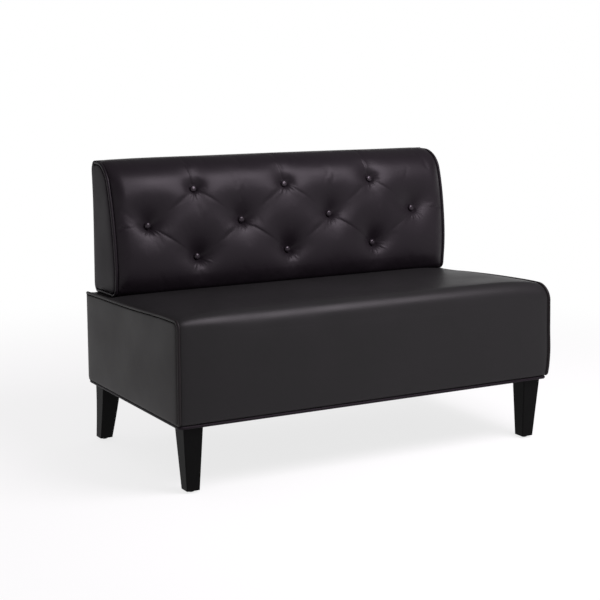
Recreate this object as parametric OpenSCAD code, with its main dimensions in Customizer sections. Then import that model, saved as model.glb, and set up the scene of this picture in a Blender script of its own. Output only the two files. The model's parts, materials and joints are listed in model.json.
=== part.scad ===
// High-back dining bench: padded seat box on four wooden legs, with a button-tufted back.
// X runs along the width, Y from front (-) to rear (+), Z up from the floor.

/* [Overall] */
// Width over the two end panels of the seat
bench_w = 1200; // [1000:10:1500]
// Depth of the seat box at its base
seat_d = 630; // [580:5:700]
// Height of the seat's edge at the rear
seat_h = 445; // [430:1:480]
// Height of the back above the seat's rear edge, at its ends
back_h = 380; // [350:2:440]
// How far the back stands out behind the seat box
back_overhang = 26; // [15:1:40]
// Height of the frame's underside above the floor
frame_z = 188; // [150:1:195]

/* [Seat cushion] */
// How much the seat's edge climbs from rear to front
seat_rise = 19; // [6:1:24]
// How far the middle of the seat crowns above its edges
seat_crown = 12; // [6:1:15]
// How far the front face swells at mid height
front_swell = 4; // [2:1:8]
// Radius of the rounded front edge of the seat
seat_nose_r = 30; // [22:1:38]
// Radius where the covers turn in under the box
tuck_r = 10; // [7:1:12]

/* [Back cushion] */
// Gap from the end of the seat to the end of the back
back_inset = 36; // [30:1:60]
// Depth of the back at its base
back_base_t = 168; // [160:1:185]
// Angle that the front of the back leans to at its top
back_lean = 14.5; // [10:0.5:18]
// Height above the seat where the lean starts
lean_start = 64; // [45:1:80]
// Radius of the roll at the top front
back_nose_r = 75; // [60:1:84]
// Radius of the lower front edge of the back
back_toe_r = 22; // [14:1:26]
// Radius of the rear edges of the back
back_heel_r = 20; // [14:1:24]
// How far the top of the back crowns between its ends
back_crown = 2; // [1:0.5:6]
// How far the face of the back stands proud of its end seams
back_puff = 11; // [6:1:14]

/* [Tufting] */
// Distance between buttons in a row
tuft_pitch = 301.5; // [240:1:320]
// Distance between rows of buttons
tuft_rows = 98; // [84:1:104]
// Drop of the top row below the top edge
tuft_drop = 83; // [72:1:92]
// Least distance from the outermost buttons to the end seam
tuft_margin = 80; // [70:1:110]
// Depth of the top row of tufts below the seam line
tuft_sink_top = 18; // [12:0.5:22]
// Depth of the low row of tufts below the seam line
tuft_sink_low = 31; // [24:0.5:34]
// Diameter of a covered button
button_d = 20; // [16:0.5:21]
// Height of a covered button
button_h = 7; // [5:0.5:9]

/* [Covers and padding] */
// Thickness of the covers
cover_t = 2; // [1:0.1:2.5]
// Diameter of the piping along the seams
welt_d = 9; // [7:0.5:10]
// Diameter of the cord round the base
cord_d = 9; // [7:0.5:10]
// Distance from the box faces to the middle of the base cord
cord_inset = 5.5; // [5:0.5:7]
// Thickness of the pads between boards and covers
pad_t = 8; // [6:0.5:12]
// Distance from the seam line to the face of the tufting board
front_foam = 38; // [36:0.5:41]
// Distance from the seam line to the frame at the top of the back
top_foam = 20; // [16:0.5:26]
// Thickness of the seat foam at its rear edge
foam_t = 55; // [45:1:70]
// Thickness of the felt over the springs
felt_t = 5; // [3:0.5:8]
// Thickness of the cloth under the frame
dust_t = 1.5; // [0.8:0.1:2]

/* [Frame] */
// Thickness of the seat rails
rail_t = 18; // [15:0.5:19]
// Side of the corner plates that carry the legs
plate_w = 90; // [75:1:110]
// Thickness of the corner plates
plate_t = 18; // [12:0.5:22]
// Side of the triangular corner blocks
block_w = 46; // [35:1:60]
// Thickness of the ribs and end boards of the back
rib_t = 18; // [12:0.5:20]
// Distance of the two ribs from the middle
rib_x = 226; // [218:1:234]
// Width of the rib tails that go down into the seat
tail_w = 42; // [34:1:50]
// Length of the rib tails below the seat's rear edge
tail_len = 215; // [190:1:235]
// Thickness of the blocks that the tails are bolted to
tail_block_t = 30; // [24:1:34]
// Thickness of the back's cross rails
cross_t = 20; // [15:0.5:24]
// Height of the back's cross rails
cross_h = 56; // [40:1:60]
// Thickness of the tufting board
board_t = 4; // [3:0.5:5]
// Height of the middle stretcher under the springs
stretcher_h = 90; // [60:1:120]

/* [Springs] */
// Distance between springs
spring_pitch = 150; // [148:1:152]
// Width of a spring
spring_w = 50; // [44:1:54]
// Thickness of the spring wire
wire_d = 3.8; // [3:0.1:4]
// Distance between runs of the spring wire
run_pitch = 26; // [22:1:30]
// Thickness of the clip steel
clip_t = 1.5; // [1:0.1:2]

/* [Legs] */
// Side of a leg at the top
leg_top_w = 58; // [48:1:60]
// Side of a leg at the foot
leg_foot_w = 38; // [28:1:44]
// Distance from the end panel to the leg
leg_inset_x = 18; // [15:1:30]
// Distance from the front or rear panel to the leg
leg_inset_y = 12; // [12:1:22]
// How far the rear legs sweep back
leg_rake = 49; // [20:1:49]
// How far the feet stand in from the ends, against the tops of the legs
leg_toe_in = 3; // [0:1:8]
// Radius of the leg's edges
leg_edge_r = 3; // [1:0.5:6]
// Diameter of a glide
glide_d = 22; // [18:1:26]
// Height of a glide
glide_h = 6; // [4:0.5:9]
// Diameter of the hanger bolts and tail bolts
bolt_d = 8; // [6:0.5:8]
// How deep a hanger bolt goes into its leg
bolt_grip = 35; // [25:1:45]

/* [Hidden] */

// Colours
cover_colour = "#2c292c";
side_colour = "#3d3b3d";
leg_colour = "#161616";
steel_colour = "#a9adb1";
ply_colour = "#c9a978";
foam_colour = "#e8d9a8";
felt_colour = "#8d8f88";
cloth_colour = "#1b1b1d";
twine_colour = "#e4e0d2";
plastic_colour = "#0e0e0f";

// Clearances
seat_gap = 0.3;      // between soft or curved pieces that lie on each other
bore_gap = 0.2;      // round a bolt or a nail in its hole
eps = 0.01;

// Main planes; the outline's depth is centred on Y = 0
depth = seat_d + back_overhang + front_swell;
back_rear = depth / 2;
seat_rear = back_rear - back_overhang;
seat_front = seat_rear - seat_d;
half_w = bench_w / 2;
foam_z = seat_h - foam_t;
rail_top = foam_z - 2 * clip_t - wire_d - 2 * bore_gap - felt_t - 2 * seat_gap;
rail_out = cover_t + pad_t + seat_gap;   // from a box face to the rail behind it

// Basic helpers
function unit(v) = v / norm(v);
function fade(t) = let (c = min(max(t, 0), 1)) c * c * (3 - 2 * c);
function flip(list) = [for (i = [len(list) - 1:-1:0]) list[i]];
// Height above the seam across the width: full in the middle, none at the ends
function across(x, end, power) = 1 - pow(abs(x / end), power);
function ends_in(end, steps) = concat([for (s = steps) -end + s], [0], [for (s = flip(steps)) end - s]);

// A row of a cushion's outline is [y, z, normal y, normal z, crown at mid width].
function row(p, n, crown) = [p[0], p[1], n[0], n[1], crown];
function arc_row(centre, r, a, crown) = row(centre + r * [cos(a), sin(a)], [cos(a), sin(a)], crown);
function moved(rows, d) = [for (q = rows) [q[0] - d * q[2], q[1] - d * q[3]]];
function skin(rows, xs, rise, d) =
    [for (q = rows) for (x = xs) let (h = rise(x, q) - d) [x, q[0] + q[2] * h, q[1] + q[3] * h]];
// Two triangles of a cell, with the cut along either diagonal
function cell(a, b, c, d, other) = other ? [[a, b, d], [b, c, d]] : [[a, b, c], [a, c, d]];
function grid_faces(nr, nc, start, other) =
    [for (r = [0:nr - 2]) for (c = [0:nc - 2]) let (i = start + r * nc + c)
        each cell(i, i + 1, i + nc + 1, i + nc, other(r, c))];

// A sheet of even thickness between two skins
module sheet(rows, xs, rise, outer, thick, other) {
    nr = len(rows);
    nc = len(xs);
    n = nr * nc;
    pts = concat(skin(rows, xs, rise, outer), skin(rows, xs, rise, outer + thick));
    top = grid_faces(nr, nc, 0, other);
    under = [for (f = grid_faces(nr, nc, n, other)) flip(f)];
    first = [for (c = [0:nc - 2]) each cell(c + 1, c, n + c, n + c + 1, false)];
    last = [for (c = [0:nc - 2]) let (i = (nr - 1) * nc + c) each cell(i, i + 1, n + i + 1, n + i, false)];
    left = [for (r = [0:nr - 2]) let (i = r * nc) each cell(i, i + nc, n + i + nc, n + i, false)];
    right = [for (r = [0:nr - 2]) let (i = r * nc + nc - 1) each cell(i + nc, i, n + i, n + i + nc, false)];
    polyhedron(points = pts, faces = concat(top, under, first, last, left, right), convexity = 10);
}

// A block of foam: a skin on the outside and straight edges along X on the inside.
// The inner outline has no more points than the skin has rows; its last point serves the rows left over.
module foam_block(rows, xs, rise, outer, inner, other) {
    nr = len(rows);
    nc = len(xs);
    n = nr * nc;
    m = len(inner);
    pts = concat(skin(rows, xs, rise, outer),
        [for (q = inner) each [[xs[0], q[0], q[1]], [xs[nc - 1], q[0], q[1]]]]);
    top = grid_faces(nr, nc, 0, other);
    inside = [for (r = [0:1:m - 2]) let (i = n + 2 * r) each cell(i, i + 2, i + 3, i + 1, false)];
    first = concat([for (c = [0:nc - 2]) [c + 1, c, n]], [[nc - 1, n, n + 1]]);
    end = n + 2 * m - 2;
    last = concat([for (c = [0:nc - 2]) [n - nc + c, n - nc + c + 1, end]], [[n - 1, end + 1, end]]);
    left = [for (r = [0:nr - 2]) let (i = r * nc, j = n + 2 * min(r, m - 1), k = n + 2 * min(r + 1, m - 1))
        each (j == k ? [[i, i + nc, j]] : cell(i, i + nc, k, j, false))];
    right = [for (r = [0:nr - 2])
        let (i = r * nc + nc - 1, j = n + 1 + 2 * min(r, m - 1), k = n + 1 + 2 * min(r + 1, m - 1))
        each (j == k ? [[i + nc, i, j]] : cell(i + nc, i, j, k, false))];
    polyhedron(points = pts, faces = concat(top, inside, first, last, left, right), convexity = 10);
}

// A round cord along a path in a plane of constant X, with its ends square to the path
module cord_along(path, x, d) {
    sides = 8;
    n = len(path);
    dirs = [for (i = [0:n - 1]) unit(path[min(i + 1, n - 1)] - path[max(i - 1, 0)])];
    pts = [for (i = [0:n - 1]) for (k = [0:sides - 1])
        let (a = 360 * k / sides, side = [-dirs[i][1], dirs[i][0]] * sin(a) * d / 2)
        [x + cos(a) * d / 2, path[i][0] + side[0], path[i][1] + side[1]]];
    wall = [for (i = [0:n - 2]) for (k = [0:sides - 1]) let (j = (k + 1) % sides)
        each cell(i * sides + k, (i + 1) * sides + k, (i + 1) * sides + j, i * sides + j, false)];
    start = [for (k = [0:sides - 1]) k];
    finish = [for (k = [sides - 1:-1:0]) (n - 1) * sides + k];
    polyhedron(points = pts, faces = concat(wall, [start, finish]), convexity = 10);
}

// Turns a drawing of [y, z] points into a plate between two X values
module plate_yz(points, x0, x1) {
    translate([x0, 0, 0])
        rotate([90, 0, 90])
            linear_extrude(x1 - x0) polygon(points);
}

module block_between(low, high) {
    translate(low) cube(high - low);
}

module at_both_ends() {
    children();
    mirror([1, 0, 0]) children();
}

// Seat outline, from the rear of the top edge over the nose to the tuck under the front
seat_nose_y = seat_front + seat_nose_r;
seat_nose_z = seat_h + seat_rise - seat_nose_r;
seat_end = half_w - welt_d - seat_gap;
crease_y = back_rear - back_base_t;      // the back's face meets the seat here
press_y = crease_y + back_toe_r / 2;     // behind this the back presses the seat flat
press_span = 30;
function seat_edge_z(y) =
    seat_h + seat_rise * pow(max(0, (press_y - y) / (press_y - seat_nose_y)), 1.1);
function seat_press(y) = fade((press_y - y) / press_span);
seat_top_ys = [seat_rear - cover_t - seat_gap, press_y, press_y - press_span / 4, press_y - press_span / 2,
    press_y - press_span, 0, seat_nose_y / 2, seat_nose_y * 0.8];
swell_span = seat_nose_z - frame_z - tuck_r;
function swell(z) = front_swell * pow(max(0, sin(180 * (z - frame_z - tuck_r) / swell_span)), 0.6);
seat_front_zs = [(seat_nose_z + foam_z) / 2, foam_z, foam_z - 60, (foam_z + frame_z) / 2, frame_z + 50];
tuck_centre = [seat_front + tuck_r, frame_z + tuck_r];
seat_top_rows = [for (y = seat_top_ys) row([y, seat_edge_z(y)], [0, 1], seat_crown * seat_press(y))];
seat_nose_rows = [for (a = [90:18:180])
    arc_row([seat_nose_y, seat_nose_z], seat_nose_r, a, seat_crown * (180 - a) / 90)];
seat_face_rows = [for (z = seat_front_zs) row([seat_front, z], [-1, 0], swell(z))];
seat_tuck_rows = [for (a = [180:30:270]) arc_row(tuck_centre, tuck_r, a, 0)];
seat_rows = concat(seat_top_rows, seat_nose_rows, seat_face_rows, seat_tuck_rows);
seat_foam_rows = concat(seat_top_rows, seat_nose_rows, [seat_face_rows[0], seat_face_rows[1]]);
seat_welt_rows = concat([for (i = [0, 1, 4, 5, 6, 7]) seat_top_rows[i]], seat_nose_rows,
    [seat_face_rows[1], seat_face_rows[3]], seat_tuck_rows);
seat_xs = ends_in(seat_end, [0, 10, 30, 70, 150, 300]);
seat_rise_at = function (x, q) q[4] * across(x, seat_end, 10);
same_cut = function (r, c) false;

// End panel outline of the seat: its top and front edges lie inside the piping
function seat_panel(edge, rear_gap, low) = concat(
    [[seat_rear - rear_gap, low]],
    [for (p = moved([for (q = seat_welt_rows) if (q[1] > low + 4 * tuck_r) q], edge))
        [min(p[0], seat_rear - rear_gap), p[1]]],
    [[seat_front + edge, low]]);

// Back outline, from the rear seam at the top over the roll and down the face to the base
back_z = seat_h + seat_gap;
crest_z = back_z + back_h;
back_half = half_w - back_inset;
back_end = back_half - welt_d - seat_gap;
back_inner = back_half - cover_t - pad_t - seat_gap;
back_face = back_rear - back_base_t;
lean_power = 1.4;
lean_z = back_z + lean_start;
roll_z = crest_z - back_nose_r * (1 - sin(back_lean));
lean_y = tan(back_lean) * (roll_z - lean_z) / lean_power;
function lean_t(z) = max(0, (z - lean_z) / (roll_z - lean_z));
function face_y(z) = back_face + lean_y * pow(lean_t(z), lean_power);
function face_normal(z) = unit([-1, tan(back_lean) * pow(lean_t(z), lean_power - 1)]);
roll_centre = [face_y(roll_z) + back_nose_r * cos(back_lean), crest_z - back_nose_r];
toe_centre = [back_face + back_toe_r, back_z + back_toe_r];

// Tufts: buttons stand where the column and row numbers add up to an odd number
tuft_half = tuft_pitch / 2;
tuft_cols = floor((back_half - tuft_margin) / tuft_half);
tuft_mid_z = crest_z - tuft_drop - tuft_rows;
tuft_flat = button_d / 2 + 1;
back_seam = 22;                          // the face rises to its full height this far from the end seams
tufts = [for (b = [-1:1]) for (a = [-tuft_cols:tuft_cols]) if ((a + b) % 2 != 0)
    [a * tuft_half, tuft_mid_z + b * tuft_rows]];
crease_share = 0.62;                     // how high a crease's middle is, beside a pillow's
function diamond(a, b) = let (
        p = abs(sin(90 * (a + b + 1))),
        q = abs(sin(90 * (a - b + 1))),
        flat = sin(90 * (tuft_flat / tuft_half + tuft_flat / tuft_rows)))
    crease_share * pow(max(0, (max(p, q) - flat) / (1 - flat)), 0.8) + (1 - crease_share) * pow(p * q, 0.6);
function tuft_depth(b) = tuft_sink_low + (tuft_sink_top - tuft_sink_low) * (b + 1) / 2;
function tuft_at(x, z) = let (
        a = abs(x) / tuft_half,
        b = (z - tuft_mid_z) / tuft_rows,
        a_in = min(a, tuft_cols),
        b_in = min(max(b, -1), 1),
        room = (back_end / tuft_half - tuft_cols))
    tuft_depth(b_in) * (1 - diamond(a_in, b_in))
        * fade(1 - (a - a_in) / room) * fade(1 - abs(b - b_in) / 0.75);
back_rise_at = function (x, q)
    q[4] * fade((back_end - abs(x)) / back_seam) - (q[3] > -0.5 ? tuft_at(x, q[1]) : 0);

function face_row(z) = row([face_y(z), z], face_normal(z), back_puff);
function steps(from, to, n) = [for (i = [1:n - 1]) from + (to - from) * i / n];
tuft_zs = [for (b = [1, 0, -1]) let (z = tuft_mid_z + b * tuft_rows) each concat(
    [z + tuft_flat, z - tuft_flat],
    b > -1 ? steps(z - tuft_flat, z - tuft_rows + tuft_flat, 3) : [])];
back_top_row = row([back_rear - back_heel_r, crest_z], [0, 1], back_crown);
roll_rows = [for (i = [0:4]) let (a = 90 + i * (90 - back_lean) / 4)
    arc_row(roll_centre, back_nose_r, a, back_crown + (back_puff - back_crown) * fade(i / 4))];
face_rows = [for (z = tuft_zs) face_row(z)];
toe_rows = [for (a = [180:45:270]) arc_row(toe_centre, back_toe_r, a, 0)];
base_row = row([back_rear - back_heel_r, back_z], [0, -1], 0);
back_foam_rows = concat([back_top_row], roll_rows, face_rows, toe_rows);
back_rows = concat(back_foam_rows, [base_row]);
back_xs_half = concat(
    [for (a = [0:tuft_cols - 1]) let (x0 = a * tuft_half + tuft_flat, x1 = (a + 1) * tuft_half - tuft_flat)
        each concat([x0], steps(x0, x1, 3), [x1])],
    [tuft_cols * tuft_half + tuft_flat, back_end - back_seam, back_end]);
back_xs = concat([for (x = flip(back_xs_half)) -x], back_xs_half);
// Cells are cut along the creases
back_cut = function (r, c) let (
        a = floor(((back_xs[c] + back_xs[c + 1]) / 2) / tuft_half),
        b = floor(((back_rows[r][1] + back_rows[r + 1][1]) / 2 - tuft_mid_z) / tuft_rows))
    (a + b) % 2 == 0;

// Inner outline of the back, a given distance inside the seam line at the face and at the top
function core(face_d, top_d, low) = concat(
    moved([back_top_row], top_d),
    [for (i = [0:4]) moved([roll_rows[i]], top_d + (face_d - top_d) * i / 4)[0]],
    moved(face_rows, face_d),
    [[back_face + face_d, lean_z], [back_face + face_d, low]]);
core_d = front_foam + board_t;
core_low = back_z + cover_t + seat_gap;
core_rear = back_rear - cover_t - seat_gap;
core_top = crest_z - top_foam;
heel_in = back_heel_r - cover_t - seat_gap;
function frame_outline(x_gap) = concat(
    core(core_d + x_gap, top_foam + x_gap, core_low),
    [[core_rear - heel_in, core_low], [core_rear, core_low + heel_in], [core_rear, core_top]]);
// The same closed outline at the seam line, drawn in by one distance at the piping, by another at the rear
heel_y = back_rear - back_heel_r;
heel_low = [for (a = [270:15:360]) arc_row([heel_y, back_z + back_heel_r], back_heel_r, a, 0)];
heel_top = [for (a = [0:15:90]) arc_row([heel_y, crest_z - back_heel_r], back_heel_r, a, 0)];
function end_outline(edge, rear) = concat(
    moved(back_rows, edge),
    moved(heel_low, rear),
    moved(heel_top, rear));

// Legs
leg_top_z = frame_z - dust_t - 2 * bore_gap;
leg_x = half_w - leg_inset_x - leg_top_w / 2;
leg_front_y = seat_front + leg_inset_y + leg_top_w / 2;
leg_rear_y = seat_rear - leg_inset_y - leg_top_w / 2;
leg_spots = [for (x = [-leg_x, leg_x]) for (y = [leg_front_y, leg_rear_y]) [x, y]];
foot_x = leg_x - leg_toe_in;
nail_r = 1.6;
nail_len = 16;

// A rounded square of side w about the point c at height z
function leg_ring(w, c, z) = [for (k = [0:3]) for (a = [0, 45, 90])
    [c[0] + (w / 2 - leg_edge_r) * (k == 0 || k == 3 ? 1 : -1) + leg_edge_r * cos(90 * k + a),
     c[1] + (w / 2 - leg_edge_r) * (k < 2 ? 1 : -1) + leg_edge_r * sin(90 * k + a), z]];

// A tapered leg whose foot is swept back by the rake on a gentle curve.
// The side is -1 at the left and 1 at the right.
module leg_shape(side, y, rake) {
    x = side * leg_x;
    rings = rake > 0 ? 8 : 1;
    sides = 12;
    pts = [for (i = [0:rings]) let (t = i / rings)
        each leg_ring(leg_top_w + (leg_foot_w - leg_top_w) * t,
            [x - side * leg_toe_in * t, y + rake * pow(t, 1.25)],
            leg_top_z + (glide_h - leg_top_z) * t)];
    wall = [for (i = [0:rings - 1]) for (k = [0:sides - 1]) let (j = (k + 1) % sides)
        each cell(i * sides + k, i * sides + j, (i + 1) * sides + j, (i + 1) * sides + k, false)];
    lid = [for (k = [sides - 1:-1:0]) k];
    foot = [for (k = [0:sides - 1]) rings * sides + k];
    difference() {
        polyhedron(points = pts, faces = concat(wall, [lid, foot]));
        translate([x, y, leg_top_z - bolt_grip])
            cylinder(h = bolt_grip + 1, d = bolt_d + 2 * bore_gap, $fn = 32);
        translate([side * foot_x, y + rake, glide_h - 1])
            cylinder(h = nail_len + 2, r = nail_r + bore_gap, $fn = 24);
    }
}

module leg_front_left() {
    color(leg_colour) leg_shape(-1, leg_front_y, 0);
}

module leg_front_right() {
    color(leg_colour) leg_shape(1, leg_front_y, 0);
}

module leg_rear_left() {
    color(leg_colour) leg_shape(-1, leg_rear_y, leg_rake);
}

module leg_rear_right() {
    color(leg_colour) leg_shape(1, leg_rear_y, leg_rake);
}

// Nail-on glide: a dome with a small flat to stand on
module glide() {
    flat_r = glide_d * 0.25;
    rotate_extrude($fn = 64)
        polygon(concat(
            [[0, 0], [flat_r, 0]],
            [for (a = [15:15:90]) [flat_r + (glide_d / 2 - flat_r) * sin(a), (glide_h - 1) * (1 - cos(a))]],
            [[glide_d / 2, glide_h], [nail_r, glide_h]],
            [[nail_r, glide_h + nail_len], [0, glide_h + nail_len + nail_r]]));
}

module leg_glides() {
    color(plastic_colour)
        for (x = [-foot_x, foot_x]) {
            translate([x, leg_front_y, 0]) glide();
            translate([x, leg_rear_y + leg_rake, 0]) glide();
        }
}

bolt_rise = plate_t + 8;

module hanger_bolts() {
    color(steel_colour)
        for (p = leg_spots)
            translate([p[0], p[1], leg_top_z - bolt_grip])
                cylinder(h = frame_z + bolt_rise - leg_top_z + bolt_grip, d = bolt_d, $fn = 32);
}

nut_flange_r = bolt_d * 1.35;
nut_barrel_r = bolt_d / 2 + 1.3;
nut_flange_t = 1.5;
nut_barrel_h = plate_t * 0.6;

module tee_nuts() {
    color(steel_colour)
        for (p = leg_spots)
            translate([p[0], p[1], frame_z + plate_t])
                difference() {
                    union() {
                        cylinder(h = nut_flange_t, r = nut_flange_r, $fn = 48);
                        translate([0, 0, -nut_barrel_h])
                            cylinder(h = nut_barrel_h, r = nut_barrel_r, $fn = 32);
                    }
                    translate([0, 0, -plate_t]) cylinder(h = 2 * plate_t, d = bolt_d + bore_gap, $fn = 32);
                }
}

// Inner faces of the seat rails
inner_x = half_w - rail_out - rail_t;
inner_front = seat_front + rail_out + rail_t;
inner_rear = seat_rear - rail_out - rail_t;

// Square plates in the corners of the frame, with a stepped hole for the tee nut
module corner_plates() {
    color(ply_colour)
        at_both_ends()
            for (front = [true, false])
                difference() {
                    block_between(
                        [inner_x - plate_w, front ? inner_front : inner_rear - plate_w, frame_z],
                        [inner_x, front ? inner_front + plate_w : inner_rear, frame_z + plate_t]);
                    translate([leg_x, front ? leg_front_y : leg_rear_y, frame_z]) {
                        translate([0, 0, -1]) cylinder(h = plate_t + 2, d = bolt_d + 1, $fn = 32);
                        translate([0, 0, plate_t * 0.4 - bore_gap])
                            cylinder(h = plate_t, r = nut_barrel_r + bore_gap, $fn = 32);
                    }
                }
}

// Glue blocks above the plates tie the rails together
block_z = frame_z + bolt_rise + 8;

module corner_blocks() {
    color(ply_colour)
        at_both_ends()
            for (front = [true, false])
                translate([inner_x, front ? inner_front : inner_rear, block_z])
                    linear_extrude(rail_top - 12 - block_z)
                        polygon([[0, 0], [-block_w, 0], [0, front ? block_w : -block_w]]);
}

module seat_front_rail() {
    color(ply_colour)
        block_between([-inner_x, inner_front - rail_t, frame_z], [inner_x, inner_front, rail_top]);
}

module seat_rear_rail() {
    color(ply_colour)
        block_between([-inner_x, inner_rear, frame_z], [inner_x, inner_rear + rail_t, rail_top]);
}

module side_rail() {
    block_between(
        [inner_x, inner_front - rail_t, frame_z],
        [inner_x + rail_t, inner_rear + rail_t, rail_top]);
}

module seat_side_rail_left() {
    color(ply_colour) mirror([1, 0, 0]) side_rail();
}

module seat_side_rail_right() {
    color(ply_colour) side_rail();
}

// Front-to-rear stretcher in the middle, cut lower clear of the springs' travel
stretcher_foot = 60;
stretcher_slope = 30;
stretcher_cut = 25;

module seat_stretcher() {
    color(ply_colour)
        translate([0, 0, frame_z])
            plate_yz([[inner_front, 0], [inner_rear, 0], [inner_rear, stretcher_h],
                [inner_rear - stretcher_foot, stretcher_h],
                [inner_rear - stretcher_foot - stretcher_slope, stretcher_h - stretcher_cut],
                [inner_front + stretcher_foot + stretcher_slope, stretcher_h - stretcher_cut],
                [inner_front + stretcher_foot, stretcher_h],
                [inner_front, stretcher_h]],
                -rail_t / 2, rail_t / 2);
}

// Zigzag springs from the front rail to the rear rail
spring_from = inner_front - rail_t / 2;
spring_to = inner_rear + rail_t / 2;
spring_runs = 2 * floor((spring_to - spring_from) / run_pitch / 2) + 1;
run_step = (spring_to - spring_from) / (spring_runs - 1);
bend_r = run_step / 2;
spring_z = rail_top + clip_t + bore_gap;
spring_count = 2 * floor((inner_x - spring_w) / spring_pitch) + 1;
spring_xs = [for (i = [0:spring_count - 1]) (i - (spring_count - 1) / 2) * spring_pitch];
straight = spring_w / 2 - bend_r - wire_d / 2;
// Centre line points, run by run, joined by half-round bends
function spring_line() = concat(
    [[-straight, spring_from]],
    [for (i = [0:spring_runs - 2]) let (s = i % 2 == 0 ? 1 : -1)
        for (a = [-90:45:90])
            [s * (straight + bend_r * cos(a)), spring_from + i * run_step + bend_r + bend_r * sin(a)]],
    [[(spring_runs - 1) % 2 == 0 ? straight : -straight, spring_to]]);
function spring_side(line, d) = [for (i = [0:len(line) - 1]) let (
        before = line[max(i - 1, 0)],
        after = line[min(i + 1, len(line) - 1)],
        t = unit([after[0] - before[0], after[1] - before[1]]))
    [line[i][0] - t[1] * d, line[i][1] + t[0] * d]];

module seat_springs() {
    line = spring_line();
    color(steel_colour)
        for (x = spring_xs)
            translate([x, 0, spring_z])
                linear_extrude(wire_d)
                    polygon(concat(spring_side(line, wire_d / 2), flip(spring_side(line, -wire_d / 2))));
}

// Steel clips fold over the end runs of each spring
clip_w = 18;
clip_in = 2 * bore_gap + wire_d;
clip_reach = 6;
clip_high = 2 * clip_t + clip_in;
clip_line = [
    [-clip_reach, 0], [wire_d, 0], [wire_d, clip_high], [-clip_reach, clip_high],
    [-clip_reach, clip_t + clip_in], [wire_d - clip_t, clip_t + clip_in],
    [wire_d - clip_t, clip_t], [-clip_reach, clip_t]];

module clip(y, side) {
    for (x = spring_xs)
        translate([x - clip_w / 2, y, rail_top])
            rotate([90, 0, 90])
                linear_extrude(clip_w)
                    polygon([for (p = clip_line) [side * p[0], p[1]]]);
}

module spring_clips() {
    color(steel_colour) {
        clip(spring_from, -1);
        clip(spring_to, 1);
    }
}

// The rib tails pass through the seat padding here
tail_gap = 20;
tail_rear = inner_rear - tail_gap;
tail_front = tail_rear - tail_w;
tail_slack = 1;

module tail_slots(low, high) {
    for (x = [-rib_x, rib_x])
        block_between([x - rib_t / 2 - tail_slack, tail_front - tail_slack, low],
            [x + rib_t / 2 + tail_slack, tail_rear + tail_slack, high]);
}

module spring_felt() {
    low = rail_top + 2 * clip_t + clip_in + seat_gap;
    color(felt_colour)
        difference() {
            block_between(
                [-inner_x - rail_t, inner_front - rail_t, low],
                [inner_x + rail_t, inner_rear + rail_t, low + felt_t]);
            tail_slots(low - 1, low + felt_t + 1);
        }
}

module seat_foam() {
    rear = [seat_rear - cover_t - seat_gap, foam_z];
    xs = concat([-inner_x - rail_t], [for (i = [1:len(seat_xs) - 2]) seat_xs[i]], [inner_x + rail_t]);
    color(foam_colour)
        difference() {
            foam_block(seat_foam_rows, xs, seat_rise_at, cover_t + seat_gap, [rear], same_cut);
            tail_slots(foam_z - 1, seat_h + 1);
        }
}

// Pads on the rails; they stop above the tuck of the covers
pad_low = frame_z + tuck_r + 2;
pad_high = foam_z - seat_gap;

module seat_front_pad() {
    color(foam_colour)
        block_between([-inner_x - rail_t, seat_front + cover_t + seat_gap, pad_low],
            [inner_x + rail_t, inner_front - rail_t, pad_high]);
}

module seat_rear_pad() {
    color(foam_colour)
        block_between([-inner_x - rail_t, inner_rear + rail_t, pad_low],
            [inner_x + rail_t, seat_rear - cover_t - seat_gap, pad_high]);
}

module side_pad() {
    plate_yz(seat_panel(welt_d + 1, rail_out, pad_low),
        inner_x + rail_t + eps, half_w - cover_t - seat_gap);
}

module seat_side_pad_left() {
    color(foam_colour) mirror([1, 0, 0]) side_pad();
}

module seat_side_pad_right() {
    color(foam_colour) side_pad();
}

// One panel covers the seat's top and front and turns in under the front rail
module seat_top_cover() {
    color(cover_colour)
        difference() {
            sheet(seat_rows, seat_xs, seat_rise_at, 0, cover_t, same_cut);
            tail_slots(seat_h - 2 * cover_t, seat_h + 1);
        }
}

// A cover panel that stands upright and turns in at its foot, drawn as [distance inwards, height]
function tucked(high) = concat(
    [[0, high], [cover_t, high]],
    [for (a = [0:15:90]) [tuck_r, frame_z + tuck_r] - (tuck_r - cover_t) * [cos(a), sin(a)]],
    [for (a = [90:-15:0]) [tuck_r, frame_z + tuck_r] - tuck_r * [cos(a), sin(a)]]);

module seat_rear_cover() {
    color(cover_colour)
        translate([0, seat_rear, 0])
            plate_yz([for (p = tucked(seat_h)) [-p[0], p[1]]],
                cover_t + seat_gap - half_w, half_w - cover_t - seat_gap);
}

module side_cover() {
    intersection() {
        translate([half_w, seat_rear, 0])
            rotate([90, 0, 0])
                linear_extrude(seat_d) polygon([for (p = tucked(seat_h + seat_rise)) [-p[0], p[1]]]);
        plate_yz(seat_panel(welt_d + seat_gap, 0, frame_z), half_w - tuck_r - 1, half_w + 1);
    }
}

module seat_side_cover_left() {
    color(side_colour) mirror([1, 0, 0]) side_cover();
}

module seat_side_cover_right() {
    color(side_colour) side_cover();
}

// Piping along the top and front edge of each end panel
module seat_welt() {
    cord_along(moved(seat_welt_rows, welt_d / 2), half_w - welt_d / 2, welt_d);
}

module seat_welt_left() {
    color(side_colour) mirror([1, 0, 0]) seat_welt();
}

module seat_welt_right() {
    color(side_colour) seat_welt();
}

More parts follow.
